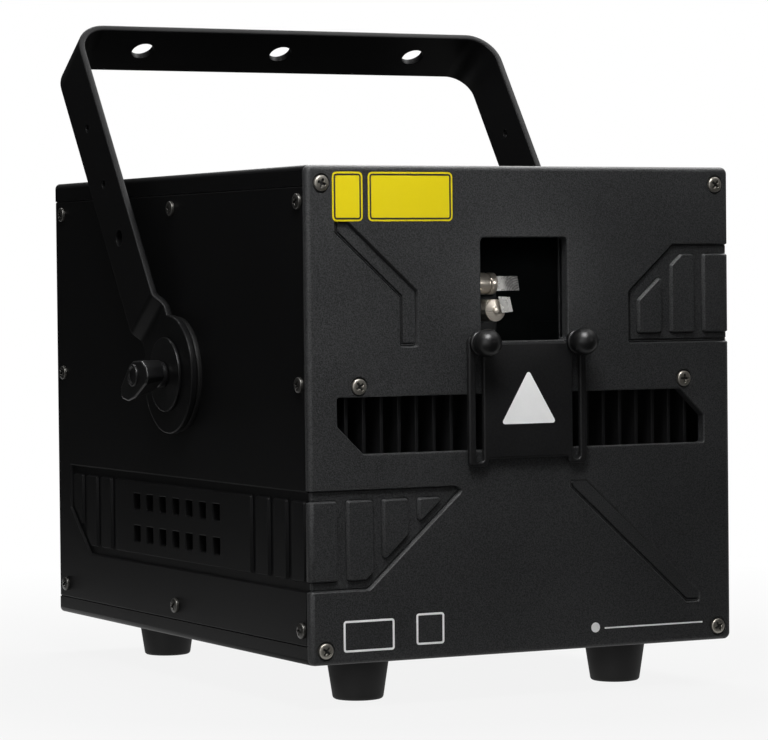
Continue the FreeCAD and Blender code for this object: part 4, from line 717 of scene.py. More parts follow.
# thumb knobs
knob = {"ball": 7.2, "centre": -11.8, "collar": 6.3, "collarFront": -6.1, "collarBack": -4.1, "stud": 2,
        "studEnd": 5, "z": 159.8, "backSoft": 0.4, "frontSoft": 0.6, "ballFrom": -52, "ballTo": 90,
        "ballSteps": 18}
ballTurn = knob["ballTo"] - knob["ballFrom"]
ballAngles = [math.radians(knob["ballFrom"] + ballTurn * k / knob["ballSteps"])
              for k in range(knob["ballSteps"] + 1)]
knobProfile = [(0, knob["studEnd"]), (knob["stud"], knob["studEnd"]), (knob["stud"], knob["collarBack"]),
               (knob["collar"] - knob["backSoft"], knob["collarBack"]),
               (knob["collar"], knob["collarBack"] - knob["backSoft"]),
               (knob["collar"], knob["collarFront"] + knob["frontSoft"]),
               (knob["collar"] - knob["frontSoft"], knob["collarFront"])]
knobProfile += [(max(0, knob["ball"] * math.cos(a)), knob["centre"] - knob["ball"] * math.sin(a))
                for a in ballAngles]
for name, sign in sides:
    knobShape = Shape()
    lathe(knobShape, knobProfile, along("y", (sign * shutter["slot"], face, knob["z"] + floorHeight)), 40)
    knobShape.make(name + "KnobBall", [knobPlastic], "knob_" + name, "knob_plastic", "shutter_knob_" + name,
                   crease=50)
print("stage: shutter and knobs")

# blank stickers with a border, and white frames, a line and a dot
sticker = {"spans": ((-109.6, -92.6), (-89.6, -41.6)), "low": 221.8, "high": 246.6, "corner": 2.4,
           "rise": 0.1, "inset": 0.9, "line": 0.9, "lineRise": 0.06}
white = {"rise": 0.08, "frames": ((-105.7, 6, -77, 21.9), (-64.6, 7.5, -48.6, 23.5)), "corner": 1.6,
         "frameWide": 1.1, "line": (46, 9.6, 106, 10.4), "dot": (40.5, 10.6, 2.6)}
marks = Shape()
for left, right in sticker["spans"]:
    loop = rectangle(left, sticker["low"], right, sticker["high"], sticker["corner"])
    plate(marks, loop, sticker["rise"], onFront(-sticker["rise"]))
    plate(marks, grown(loop, -sticker["inset"]), sticker["lineRise"],
          onFront(-sticker["rise"] - sticker["lineRise"]), [grown(loop, -sticker["inset"] - sticker["line"])],
          slot=2)
frames = [rectangle(*f, white["corner"]) for f in white["frames"]]
whiteMarks = [(f, [grown(f, -white["frameWide"])]) for f in frames]
for loop, holes in whiteMarks + [(rectangle(*white["line"]), []), (circle(*white["dot"]), [])]:
    plate(marks, loop, white["rise"], onFront(-white["rise"]), holes, slot=1)
marks.make("frontMarks", [markYellow, markWhite, darkPrintAndShade], "case", "case_paint")

# feet
foot = {"top": 16.5, "bottom": 13, "high": 23, "recess": 6, "recessHigh": 13, "soft": 1.8, "x": (-77, 77),
        "y": (42, 288)}
footProfile = easedPath([(0, foot["recessHigh"]), (foot["recess"], foot["recessHigh"]), (foot["recess"], 0),
                         (foot["bottom"], 0), (foot["top"], foot["high"]), (0, foot["high"])],
                        foot["soft"], 4)
feetShape = Shape()
for x in foot["x"]:
    for y in foot["y"]:
        lathe(feetShape, footProfile, along("z", (x, face + y, 0)), 40)
feetShape.make("rubberFeet", [footRubber], "case", "foot_rubber", "rubber_feet", crease=40)
print("stage: marks and feet")

# yoke: a flat bar, unrolled along its bends
yoke = {"pivotY": 0.9, "pivotZ": 165.7, "lean": 35.4, "disc": 32, "discOut": 131, "armOut": 136.1,
        "joggleLow": 33.5, "joggleHigh": 39.6, "bar": 36, "thick": 4, "high": 227.8, "bend": 19,
        "joggleBend": 5, "edge": 0.9, "holeEdge": 0.5, "barHole": 6.5, "barHoles": (-87.6, 0, 87.6),
        "boltHole": 5.05, "armHoles": ((91, 4.5), (128, 2.2), (167, 2.2)), "endSteps": 44, "foldReach": 60,
        "longestBendStep": 6}
turns = mirrored([(-yoke["discOut"], -yoke["disc"]), (-yoke["discOut"], yoke["joggleLow"]),
                  (-yoke["armOut"], yoke["joggleHigh"]), (-yoke["armOut"], yoke["high"])])
yokeLine = [Vector(turns[0])]
for before, here, after in zip(turns, turns[1:], turns[2:]):
    bow, steps = (yoke["bend"], 12) if here[1] == yoke["high"] else (yoke["joggleBend"], 5)
    yokeLine += easedPath([before, here, after], bow, steps)[1:-1]
yokeLine.append(Vector(turns[-1]))
yokeRun, yokeNormals = [0.0], []
for a, b in zip(yokeLine, yokeLine[1:]):
    yokeRun.append(yokeRun[-1] + (b - a).length)
for before, after in zip(yokeLine[:1] + yokeLine, yokeLine[1:] + yokeLine[-1:]):
    way = (after - before).normalized()
    yokeNormals.append(Vector((way.y, -way.x)))
yokeEnd = yokeRun[-1]
pivot = Vector((0, yoke["pivotY"], yoke["pivotZ"]))
lean = Matrix.Translation(pivot) @ Matrix.Rotation(math.radians(-yoke["lean"]), 4, "X")


def onYoke(u, v, depth, back):
    i = 0
    while i < len(yokeRun) - 2 and u > yokeRun[i + 1]:
        i += 1
    share = (u - yokeRun[i]) / (yokeRun[i + 1] - yokeRun[i])
    inward = yokeNormals[i].lerp(yokeNormals[i + 1], share).normalized()
    at = yokeLine[i].lerp(yokeLine[i + 1], share) + inward * depth
    return tuple(lean @ Vector((at.x, v, at.y)))


def runAtHeight(height):
    for i in range(len(yokeLine) // 2):
        a, b = yokeLine[i].y, yokeLine[i + 1].y
        if a <= height <= b and b > a:
            return yokeRun[i] + (height - a) / (b - a) * (yokeRun[i + 1] - yokeRun[i])


def inBend(u, v):
    i = max(k for k in range(len(yokeRun)) if yokeRun[k] <= u or k == 0)
    return yokeRun[min(i + 1, len(yokeRun) - 1)] - yokeRun[i] < yoke["longestBendStep"]


neck = math.asin(yoke["bar"] / 2 / yoke["disc"])
angles = [neck + 2 * (math.pi - neck) * k / yoke["endSteps"] for k in range(yoke["endSteps"] + 1)]
firstEnd = [Vector((yoke["disc"] + yoke["disc"] * math.cos(a), yoke["disc"] * math.sin(a))) for a in angles]
yokeOutline = turned(firstEnd + [Vector((yokeEnd - p.x, -p.y)) for p in firstEnd])
yokeHoles = [circle(yokeEnd / 2 + x, 0, yoke["barHole"], 32) for x in yoke["barHoles"]]
armHoles = [(runAtHeight(height), radius) for height, radius in yoke["armHoles"]]
for run, radius in armHoles + [(yoke["disc"], yoke["boltHole"])]:
    yokeHoles += [circle(run, 0, radius), circle(yokeEnd - run, 0, radius)]
yokeFolds = [[Vector((run, -yoke["foldReach"])), Vector((run, yoke["foldReach"]))] for run in yokeRun[1:-1]]
yokeShape = Shape()
plate(yokeShape, yokeOutline, yoke["thick"], onYoke, yokeHoles, yoke["edge"], yoke["holeEdge"], 4,
      folds=yokeFolds, curved=inBend)
yokeShape.make("yokeBar", [yokePaint], "yoke_body", "yoke_paint", "yoke", crease=40)
print("stage: yoke")

# clamp handles
handle = {"hub": 7, "hubIn": 133.2, "hubOut": 137.8, "bolt": 5, "boltEnd": 108.2, "barIn": 137.2,
          "barOut": 150.4, "cap": 6, "capOut": 151.9, "capIn": 149.4, "dish": (1.2, 2, 0.3, 1, 1.2),
          "edge": 1.2, "rim": 3, "taper": 0.38, "hubSoft": 0.8, "capSoft": 0.5, "corner": 2.6,
          "outline": ((-15.5, 4.5), (-18, -1), (-15, -4.5), (0, -12.2), (9, -14.2), (17.5, -13), (19, -7),
                      (9, 3), (2, 7.5), (-9, 8))}
barThick = handle["barOut"] - handle["barIn"]
boltProfile = easedPath([(0, handle["boltEnd"]), (handle["bolt"], handle["boltEnd"]),
                         (handle["bolt"], handle["hubIn"]), (handle["hub"], handle["hubIn"]),
                         (handle["hub"], handle["hubOut"]), (0, handle["hubOut"])], handle["hubSoft"])
lipWide, dishWide, lipDrop, dishDeep, dishMiddle = handle["dish"]
capProfile = easedPath([(0, handle["capIn"]), (handle["cap"], handle["capIn"]),
                        (handle["cap"], handle["capOut"] - lipDrop),
                        (handle["cap"] - lipWide, handle["capOut"]),
                        (handle["cap"] - dishWide, handle["capOut"] - dishDeep),
                        (0, handle["capOut"] - dishMiddle)], handle["capSoft"], 2)


def onLever(sign):
    def bend(u, v, depth, back):
        # the lever's body tapers towards its hub
        share = min(1.0, max(0.0, depth - handle["rim"]) / (barThick - handle["rim"]))
        narrow = 1 - handle["taper"] * share
        out = sign * (handle["barOut"] - depth)
        return tuple(pivot + Vector((out, u * narrow, v * (narrow if v < 0 else 1))))

    return bend


for name, sign in sides:
    handleShape = Shape()
    lathe(handleShape, boltProfile, along("x", pivot, sign))
    plate(handleShape, rounded(handle["outline"], handle["corner"], 5), barThick, onLever(sign), (),
          handle["edge"], steps=4)
    lathe(handleShape, capProfile, along("x", pivot, sign), 28)
    handleShape.make(name + "ClampHandle", [handlePlastic], "handle_" + name, "handle_plastic",
                     "clamp_handle_" + name, crease=40)
print("stage: clamp handles")


# repeating pieces, from node trees

def toolTree(name, inputs, build):
    tree = bpy.data.node_groups.new(name, "GeometryNodeTree")
    inputs = {"Geometry": "Geometry", "Piece": "Object", **inputs, "Finish": "Material"}
    for label, kind in inputs.items():
        tree.interface.new_socket(label, in_out="INPUT", socket_type="NodeSocket" + kind)
    tree.interface.new_socket("Geometry", in_out="OUTPUT", socket_type="NodeSocketGeometry")
    paint = Paint(tree)
    source = tree.nodes.new("NodeGroupInput")
    given = {label: Wire(paint, source.outputs[label]) for label in inputs}
    points, rotation = build(paint, given)
    item = paint.node("GeometryNodeObjectInfo", {}, {"Object": given["Piece"]}, 4)
    copies = paint.node("GeometryNodeInstanceOnPoints", {}, {"Points": points, "Instance": item,
                                                             "Rotation": rotation})
    solid = paint.node("GeometryNodeRealizeInstances", {}, {0: copies})
    # only the first slot takes the finish; the second slot keeps the screws' painted shade in their cross
    # recesses
    first = paint.node("GeometryNodeInputMaterialIndex") < 1
    dressed = paint.node("GeometryNodeSetMaterial", {}, {0: solid, "Selection": first,
                                                         "Material": given["Finish"]})
    paint.feed(tree.nodes.new("NodeGroupOutput"), {0: dressed})
    return tree


def scatterBuild(paint, given):
    # each copy stands along its point's facing, turned by chance
    facing = paint.node("GeometryNodeInputNamedAttribute", {"data_type": "FLOAT_VECTOR"}, {"Name": "facing"})
    stand = paint.node("FunctionNodeAlignRotationToVector", {"axis": "Z"}, {"Vector": facing})
    angle = paint.node("FunctionNodeRandomValue", {"data_type": "FLOAT"},
                       {2: 0.0, 3: 6.283, "Seed": given["Seed"]}, 1)
    spin = paint.node("FunctionNodeAxisAngleToRotation", {}, {"Axis": (0, 0, 1), "Angle": angle})
    both = paint.node("FunctionNodeRotateRotation", {"rotation_space": "LOCAL"}, {0: stand, 1: spin})
    return given["Geometry"], both


def rowBuild(paint, given):
    # copies in a row, each turned further about y
    line = paint.node("GeometryNodeMeshLine", {}, {"Count": given["Count"], "Start Location": given["Start"],
                                                  "Offset": given["Step"]})
    turn = paint.node("GeometryNodeInputIndex") * given["Turn"]
    return line, paint.node("FunctionNodeAxisAngleToRotation", {}, {"Axis": (0, 1, 0), "Angle": turn})


scatterTool = toolTree("scatterTool", {"Seed": "Int"}, scatterBuild)
rowTool = toolTree("rowTool", {"Count": "Int", "Start": "Vector", "Step": "Vector", "Turn": "Float"},
                   rowBuild)


def repeated(name, part, materials, tree, values, points=None, crease=36):
    # copies of one part, set out by a tree, as a plain mesh
    copied = placed(name + "Part", part.mesh(name + "Part", materials, crease))
    holder = placed(name + "Draft", points or bpy.data.meshes.new(name + "Seed"))
    tool = holder.modifiers.new("tool", "NODES")
    tool.node_group = tree
    values = {"Piece": copied, "Finish": materials[0], **values}
    for item in tree.interface.items_tree:
        if item.in_out == "INPUT" and item.name in values:
            tool[item.identifier] = values[item.name]
    bpy.context.view_layer.update()
    made = plainMesh(holder, name)
    bpy.data.objects.remove(copied)
    return made


def row(name, part, material, count, start, step, turn=0.0, crease=36):
    values = {"Count": count, "Start": Vector(start) * mm, "Step": Vector(step) * mm, "Turn": turn}
    return repeated(name, part, [material], rowTool, values, crease=crease)


# a pan head with a cross recess, standing on z = 0, in shares of its radius and height; a dark sheet inside
# the recess is painted shade
screw = {"recess": 0.6, "arm": 0.16, "crossSoft": 0.06, "edge": 0.12, "crossEdge": 0.04, "dome": 0.3,
         "curve": 2.5, "rings": (0.78, 0.68), "shadeSheetHeight": 0.3, "shadeSheetGrow": 1.02}


def screwHead(radius, high, shank, length):
    shape = Shape()
    recess, arm = radius * screw["recess"], radius * screw["arm"]
    cross, quarter = [], [(arm, arm), (arm, recess), (-arm, recess)]
    for _ in range(4):
        cross += quarter
        quarter = [(-y, x) for x, y in quarter]
    cross = rounded(cross, radius * screw["crossSoft"], 1)

    def dome(u, v, depth, back):
        away = min(1.0, math.hypot(u, v) / radius)
        return (u, v, 0 if back is not None else high * (1 - screw["dome"] * away ** screw["curve"]) - depth)

    plate(shape, circle(0, 0, radius), 1, dome, [cross], radius * screw["edge"], radius * screw["crossEdge"],
          3, folds=[circle(0, 0, radius * share) for share in screw["rings"]], curved=lambda u, v: True)
    # a dark sheet inside the cross recess, in the second slot: painted shade
    base = [(p.x * screw["shadeSheetGrow"], p.y * screw["shadeSheetGrow"], high * screw["shadeSheetHeight"]) for p in cross]
    shape.add(base, [list(range(len(base)))], False, 1)
    lathe(shape, [(0, -length), (shank, -length), (shank, 0), (0, 0)], along("z", (0, 0, 0)), 10)
    return shape


def screws(name, spots, sizes, material, seed, *replaced):
    # spots: (place, facing); sizes: the head's radius and height, the shank's radius and length
    points = bpy.data.meshes.new(name + "Spots")
    points.from_pydata([Vector(p) * mm for p, _ in spots], [], [])
    way = points.attributes.new("facing", "FLOAT_VECTOR", "POINT")
    way.data.foreach_set("vector", [c for _, d in spots for c in d])
    made = repeated(name, screwHead(*sizes), [material, darkPrintAndShade], scatterTool, {"Seed": seed}, points, 42)
    return piece(name, made, "case", "screw_steel", *replaced)


ahead, behind = (0, -1, 0), (0, 1, 0)
panHead, panelScrewLong = (4, 2.2, 2), 16
sideScrew = {"out": 124.1, "y": (9, 167, 325), "z": (17.3, 140.3, 232), "pivot": (167, 140.3), "long": 8}
railScrew = {"x": (-114, 114), "y": (-98.5, 8.5, 117.5), "z": ((271.3, 1), (24.7, -1)),
             "size": (4, 1.9, 2, 12)}
screws("frontScrewHeads", [((x, face + panel["seatDeep"], z + floorHeight), ahead) for x, z in seats],
       (*panHead, panelScrewLong), screwSteel, 3, "front_screws")
sideSpots = [((sign * sideScrew["out"], face + y, z + floorHeight), (sign, 0, 0)) for _, sign in sides
             for y in sideScrew["y"] for z in sideScrew["z"] if (y, z) != sideScrew["pivot"]]
screws("sideScrewHeads", sideSpots, (*panHead, sideScrew["long"]), shadedScrewSteel, 7, "side_screws")
railSpots = [((x, y, z), (0, 0, way)) for x in railScrew["x"] for y in railScrew["y"]
             for z, way in railScrew["z"]]
screws("railScrewHeads", railSpots, railScrew["size"], shadedScrewSteel, 11, "rail_screws")
print("stage: screws")

# cooling fins behind the vent
fin = {"count": 21, "pitch": 10, "thick": 2, "front": 6.2, "deep": 20, "low": 99, "high": 145.6,
       "corner": 0.2, "edge": 0.4}
finShape = Shape()
plate(finShape, rectangle(-fin["thick"] / 2, fin["low"], fin["thick"] / 2, fin["high"], fin["corner"], 1),
      fin["deep"] - fin["edge"], onFront(fin["front"]), (), fin["edge"], steps=2)
finMesh = row("ventFins", finShape, blackAnodised, fin["count"],
              (-(fin["count"] - 1) / 2 * fin["pitch"], 0, 0), (fin["pitch"], 0, 0))
piece("ventFins", finMesh, "case", "black_anodised", "vent_fins")
print("stage: fins")

# scanner noses and mirrors, seen through the aperture
scan = {"y": -132.5, "z": 212.9, "nose": 5.7, "noseEnd": -4.2, "noseBack": -24, "groove": (-9, -7.8),
        "grooveDeep": 0.6, "soft": 0.35, "tip": 10.8, "half": 3.9, "corner": 0.4, "thick": 1.2, "edge": 0.2,
        "tilt": 0.25, "shaft": 1.5, "shaftEnd": -25.9}
lowScan = {"x": -8, "z": 199, "front": -142, "disc": 5.8, "discBack": -119.5, "shaft": 1.5,
           "shaftEnd": -112.6, "tip": 1.6, "tipLong": 0.9, "corner": 0.3, "thick": 1, "ahead": 2.4,
           "tilt": 0.12, "tiltFrom": -6,
           "mirror": ((-7.6, 206.2), (-0.4, 205.8), (1.6, 198.2), (-5.4, 197.6))}


def onUpperMirror(u, v, depth, back):
    return (u, scan["y"] - scan["thick"] / 2 + depth + v * scan["tilt"], scan["z"] + v)


def onLowerMirror(u, v, depth, back):
    return (u, lowScan["front"] - lowScan["ahead"] + depth + (u - lowScan["tiltFrom"]) * lowScan["tilt"], v)


scanPlace = along("x", (0, scan["y"], scan["z"]))
nose, neckLow, (grooveBack, grooveFront) = scan["nose"], scan["nose"] - scan["grooveDeep"], scan["groove"]
noseShape = Shape()
lathe(noseShape, easedPath([(0, scan["noseBack"]), (nose, scan["noseBack"]), (nose, grooveBack),
                            (neckLow, grooveBack), (neckLow, grooveFront), (nose, grooveFront),
                            (nose, scan["noseEnd"]), (0, scan["noseEnd"])], scan["soft"], 2), scanPlace, 36)
noseShape.make("upperScanNose", [motorSteel], "case", "motor_steel")
mirrorShape = Shape()
mirrorRing = rectangle(scan["noseEnd"] - scan["corner"], -scan["half"], scan["tip"], scan["half"],
                       scan["corner"], 2)
plate(mirrorShape, mirrorRing, scan["thick"], onUpperMirror, (), scan["edge"], steps=2)
lathe(mirrorShape, [(0, scan["shaftEnd"]), (scan["shaft"], scan["shaftEnd"]),
                    (scan["shaft"], scan["noseEnd"]), (0, scan["noseEnd"])], scanPlace, 16)
mirrorShape.make("upperScanMirror", [scanMirror], "upper_scan_mirror", "mirror_coating", "scan_mirror_upper")
lowShape = Shape()
tipFront = lowScan["front"] - lowScan["tipLong"]
lathe(lowShape, easedPath([(0, lowScan["shaftEnd"]), (lowScan["shaft"], lowScan["shaftEnd"]),
                           (lowScan["shaft"], lowScan["discBack"]), (lowScan["disc"], lowScan["discBack"]),
                           (lowScan["disc"], lowScan["front"]), (lowScan["tip"], lowScan["front"]),
                           (lowScan["tip"], tipFront), (0, tipFront)], scan["soft"], 2),
      along("y", (lowScan["x"], 0, lowScan["z"])), 36)
plate(lowShape, rounded(lowScan["mirror"], lowScan["corner"], 2), lowScan["thick"], onLowerMirror, (),
      scan["edge"], steps=2, slot=1)
lowShape.make("lowerScanMirror", [motorSteel, scanMirror], "lower_scan_mirror", "mirror_coating",
              "scan_mirror_lower")
print("stage: scanners")

# fans and their wire guards
fan = {"x": 55, "z": 70, "hub": 16, "tip": 36, "blades": 7, "front": 141.5, "long": 17, "chord": 19,
       "thick": 1.5, "rootPitch": 44, "tipPitch": 30, "sweep": 14, "camber": 1.1, "root": 0.8, "bore": 2.15,
       "boreDeep": 14.2, "hubSoft": 0.9, "hubRim": (3, 3.6, 0.5)}
guard = {"wire": 0.8, "rings": (9, 18, 27, 36), "spoke": 48, "lug": 5, "lugHole": 2.2, "lugThick": 1.5,
         "lugSoft": (0.3, 0.4), "screw": 35.75, "screwLong": 18}


def bladeShape(rows=8, columns=8):
    # a thin curved blade, twisted from root to tip, standing up from the rotor's axis
    shape = Shape()
    points, faces = [], []
    for sign in (1, -1):
        for i in range(rows + 1):
            share = i / rows
            radius = fan["hub"] - fan["root"] + (fan["tip"] - fan["hub"] + fan["root"]) * share
            pitch = math.radians(fan["rootPitch"] + (fan["tipPitch"] - fan["rootPitch"]) * share)
            for j in range(columns + 1):
                c = j / columns - 0.5
                skin = fan["thick"] / 2 * math.sqrt(max(0.0, 1 - 3.9 * c * c))
                off = fan["camber"] * (1 - 4 * c * c) + sign * skin
                run = c * fan["chord"] * math.cos(pitch) - off * math.sin(pitch)
                turn = run / radius + math.radians(fan["sweep"]) * share * share
                deep = c * fan["chord"] * math.sin(pitch) + off * math.cos(pitch)
                points.append((radius * math.sin(turn), deep, radius * math.cos(turn)))
    wide, half = columns + 1, (rows + 1) * (columns + 1)
    for i in range(rows):
        for a in range(i * wide, i * wide + columns):
            b = half + a
            faces += [[a, a + 1, a + wide + 1, a + wide], [b, b + wide, b + wide + 1, b + 1]]
        for a in (i * wide, i * wide + columns):
            faces.append([a, a + wide, half + a + wide, half + a])
    for base in (0, rows * wide):
        faces += [[a, a + 1, half + a + 1, half + a] for a in range(base, base + columns)]
    shape.add(points, faces)
    return shape


rimIn, dishIn, dishLow = fan["hubRim"]
hubProfile = easedPath([(0, fan["boreDeep"]), (fan["bore"], fan["boreDeep"]), (fan["bore"], 0),
                        (fan["hub"], 0), (fan["hub"], fan["long"]), (fan["hub"] - rimIn, fan["long"]),
                        (fan["hub"] - dishIn, fan["long"] - dishLow), (0, fan["long"] - dishLow)],
                       fan["hubSoft"])
wire, spoke, lug, eye, tall = (guard[key] for key in ("wire", "spoke", "lug", "lugHole", "lugThick"))
wireProfile = [(wire * math.cos(math.pi * k / 5), wire * (1 + math.sin(math.pi * k / 5))) for k in range(11)]
lowSoft, highSoft = guard["lugSoft"]
lugProfile = [(eye, 0), (lug - lowSoft, 0), (lug, lowSoft), (lug, tall - highSoft), (lug - highSoft, tall),
              (eye, tall), (eye, 0)]
guards, fanSpots = Shape(), []
for name, sign in sides:
    axis = Vector((sign * fan["x"], 0, fan["z"] + floorHeight))
    bladeMesh = row(name + "FanBlades", bladeShape(), fanPlastic, fan["blades"],
                    axis + Vector((0, fan["front"] + fan["long"] / 2, 0)), (0, 0, 0),
                    math.tau / fan["blades"], 60)
    piece(name + "FanBlades", bladeMesh, name + "_fan", "fan_plastic", "fan_rotor_" + name)
    hubShape = Shape()
    lathe(hubShape, hubProfile, along("y", axis + Vector((0, fan["front"], 0))), 40)
    hubShape.make(name + "FanHub", [fanPlastic], name + "_fan", "fan_plastic", crease=50)
    guardPlace = along("y", axis + Vector((0, rearFace, 0)))
    for ring in guard["rings"]:
        lathe(guards, [(ring + a, b) for a, b in wireProfile], guardPlace, 64)
    for tilt in (1, -1):
        way = Vector((tilt, 0, 1)).normalized()
        across = Vector((-way.z, 0, way.x))
        start = axis + Vector((0, rearFace + wire, 0))
        lathe(guards, [(0, -spoke), (wire, -spoke), (wire, spoke), (0, spoke)],
              lambda a, b, h: start + way * h + across * a + Vector((0, b, 0)), 10)
        for end in (-guard["screw"], guard["screw"]):
            spot = axis + Vector((end * tilt, rearFace, end))
            lathe(guards, lugProfile, along("y", spot), 24)
            fanSpots.append((tuple(spot + Vector((0, tall, 0))), behind))
guards.make("fanGuards", [guardSteel], "case", "guard_steel", "fan_guards", crease=50)
screws("fanScrewHeads", fanSpots, (*panHead, guard["screwLong"]), screwSteel, 5, "fan_screws")
print("stage: fans")

# rear screws, buttons, trim, and the sockets' pins, contacts and screws
low, high = (Vector(c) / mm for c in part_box("rear_screws"))
headRadius = panHead[0]
rearSpots = [((x, rearFace, z), behind) for x in (low.x + headRadius, high.x - headRadius)
             for z in (low.z + headRadius, high.z - headRadius)]
screws("rearScrewHeads", rearSpots, (*panHead, panelScrewLong), shadedScrewSteel, 9, "rear_screws")
button = {"stem": 4.5, "flange": 6, "flangeFrom": 160.7, "flangeTo": 162.3, "dish": 3.2, "dishDeep": 0.5,
          "soft": 0.7, "x": (-87, -69, -51, -33), "z": 178,
          "ring": ((4.9, 0), (7, 0), (7, 0.5), (6.6, 0.9), (5.2, 0.9), (4.9, 0.6), (4.9, 0))}
stem, flange = button["stem"], button["flange"]
for name in ("up", "down", "enter", "back"):
    low, high = (Vector(c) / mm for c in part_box("menu_button_" + name))
    capShape = Shape()
    lathe(capShape, easedPath([(0, low.y), (stem, low.y), (stem, button["flangeFrom"]),
                               (flange, button["flangeFrom"]), (flange, button["flangeTo"]),
                               (stem, button["flangeTo"]), (stem, high.y), (button["dish"], high.y),
                               (0, high.y - button["dishDeep"])], button["soft"]),
          along("y", ((low.x + high.x) / 2, 0, (low.z + high.z) / 2)))
    capShape.make(name + "ButtonCap", [buttonPlastic], "button_" + name, "button_plastic",
                  "menu_button_" + name, crease=45)
frameTrim = {"outside": (-97, 194, -23, 230, 2.5), "inside": (-91.5, 199.5, -28.5, 224.5, 1, 3), "rise": 0.9,
             "edge": 0.4}
dataSocket = {"x": (34, 74), "z": 178, "pins": ((-4.2, 0), (4.2, 0), (0, -4.2)),
              "pin": ((1.25, 158), (1.25, 168.6), (0.8, 169.6), (0, 169.6)),
              "screws": ((-9.6, 12), (9.6, -12)), "flange": 2, "screw": (2.6, 1.5, 1.4, 6)}
inlet = {"blades": ((-83, 138), (-76, 142), (-69, 138)), "blade": (2.1, 4.1, 0.5), "long": 11, "edge": 0.4,
         "sunk": 1.8}
signal = {"x": 56, "z": 216, "nut": 23.5, "insert": (36.8, 6.2, 1), "insertThick": 1.2, "edge": 0.3,
          "sunk": 2.8, "contactY": 166.6, "pitch": 2.76,
          "nutProfile": ((3, 172.5), (3, 175.5), (2.6, 175.9), (1.5, 175.9), (1.5, 174), (0, 174)),
          "contact": ((0.6, 0), (0.6, 4), (0.3, 4.4), (0, 4.4)),
          "rows": (("upperContacts", 13, 39.4, 217.4), ("lowerContacts", 12, 40.8, 214.6))}
trim = Shape()
plate(trim, rectangle(*frameTrim["outside"]), frameTrim["rise"], onRear(frameTrim["rise"]),
      [rectangle(*frameTrim["inside"])], frameTrim["edge"], frameTrim["edge"], 2)
for x in button["x"]:
    lathe(trim, button["ring"], along("y", (x, rearFace, button["z"] + floorHeight)))
trim.make("controlTrim", [socketPlastic], "case", "socket_plastic")
pins = Shape()
for x in dataSocket["x"]:
    for u, v in dataSocket["pins"]:
        lathe(pins, dataSocket["pin"], along("y", (x + u, 0, dataSocket["z"] + v + floorHeight)), 14)
for x, z in inlet["blades"]:
    plate(pins, boxAround(x, z, *inlet["blade"], 2), inlet["long"], onRear(-inlet["sunk"]), (), inlet["edge"],
          steps=2)
for _, sign in sides:
    nutSpot = (signal["x"] + sign * signal["nut"], 0, signal["z"] + floorHeight)
    lathe(pins, signal["nutProfile"], along("y", nutSpot), 6)
pins.make("socketPins", [socketMetal], "case", "socket_metal")
socketSpots = [((x + u, rearFace + dataSocket["flange"], dataSocket["z"] + v + floorHeight), behind)
               for x in dataSocket["x"] for u, v in dataSocket["screws"]]
screws("socketScrewHeads", socketSpots, dataSocket["screw"], shadedScrewSteel, 13)
contact = Shape()
lathe(contact, signal["contact"], along("y", (0, 0, 0)), 8)
for name, count, x, z in signal["rows"]:
    contactMesh = row(name, contact, spacerBrass, count, (x, signal["contactY"], z + floorHeight),
                      (signal["pitch"], 0, 0))
    piece(name, contactMesh, "case", "spacer_brass")
insert = Shape()
plate(insert, boxAround(signal["x"], signal["z"], *signal["insert"], 3), signal["insertThick"],
      onRear(-signal["sunk"]), (), signal["edge"], steps=2)
insert.make("signalInsert", [socketPlastic], "case", "socket_plastic")
print("stage: rear fittings")

# remaining CAD nodes: edges eased by a width, or kept, with their materials
easedNodes = [
    ("case", "socket_plastic", socketPlastic, {"power_inlet": 0.5, "data_sockets": 0.4}),
    ("case", "socket_metal", socketMetal, {"scan_signal_socket": 0.3, "key_switch": 0.5}),
    ("barrel", "socket_metal", socketMetal, {"key_barrel": 0.3}),
    ("rocker", "socket_plastic", socketPlastic, {"power_rocker": 0.5}),
    ("case", "washer_steel", washerSteel, {"clamp_washers": 0.4}),
    ("case", "slip_nylon", slipNylon, {"yoke_slip_washers": 0.2}),
    ("case", "case_paint", shadedCasePaint, {"top_cover": 0.3, "base_tray": 0.3}),
    ("case", "case_paint", rearPaint, {"rear_panel": 0.5}),
    ("case", "fan_plastic", fanPlastic, {"fan_frames": 0.5}),
    ("case", "black_anodised", blackAnodised, {"scanner_block": 0.6, "glass_retainer": 0.4}),
]
for body, slot, material, widths in easedNodes:
    for node, width in widths.items():
        first, *others = node.split("_")
        name = first + "".join(word.capitalize() for word in others) + "Skin"
        eased(name, node, body, slot, material, width)
keptNodes = [
    (screwSteel, "foot_fasteners"), (washerSteel, "shutter_washers", "pivot_blocks"),
    (clearGlass, "aperture_glass"), (spacerBrass, "board_spacers"), (darkPane, "display"),
    (bareAluminium, "frame_rails", "optical_bench", "bench_posts", "mirror_mounts"),
    (laserHousing, "laser_module_red", "laser_module_green", "laser_module_blue"),
    (motorSteel, "scanner_motor_upper"), (blackAnodised, "scanner_motor_lower"),
    (mirrorCoating, "combiner_mirrors"), (supplyCase, "power_supply"),
    (circuitBoard, "scanner_driver_board", "laser_driver_board", "control_board"),
]
for material, *names in keptNodes:
    for node in names:
        nodes[node].data.materials.clear()
        nodes[node].data.materials.append(material)
print("stage: other nodes")

# floor, light and camera
stage = {"floor": 12.0, "floorTones": (0.15, 0.17), "floorGlow": 0.88, "near": 0.25, "far": 0.7,
         "ambient": 0.06}


def shownRays(paint):
    # rays that see the white surround: the camera's own, reflected ones and those through glass
    seen = paint.node("ShaderNodeLightPath", output="Is Camera Ray")
    return seen + seen.output("Is Glossy Ray") + seen.output("Is Transmission Ray")


def aim(place, target):
    return (Vector(target) - Vector(place)).to_track_quat("-Z", "Y")


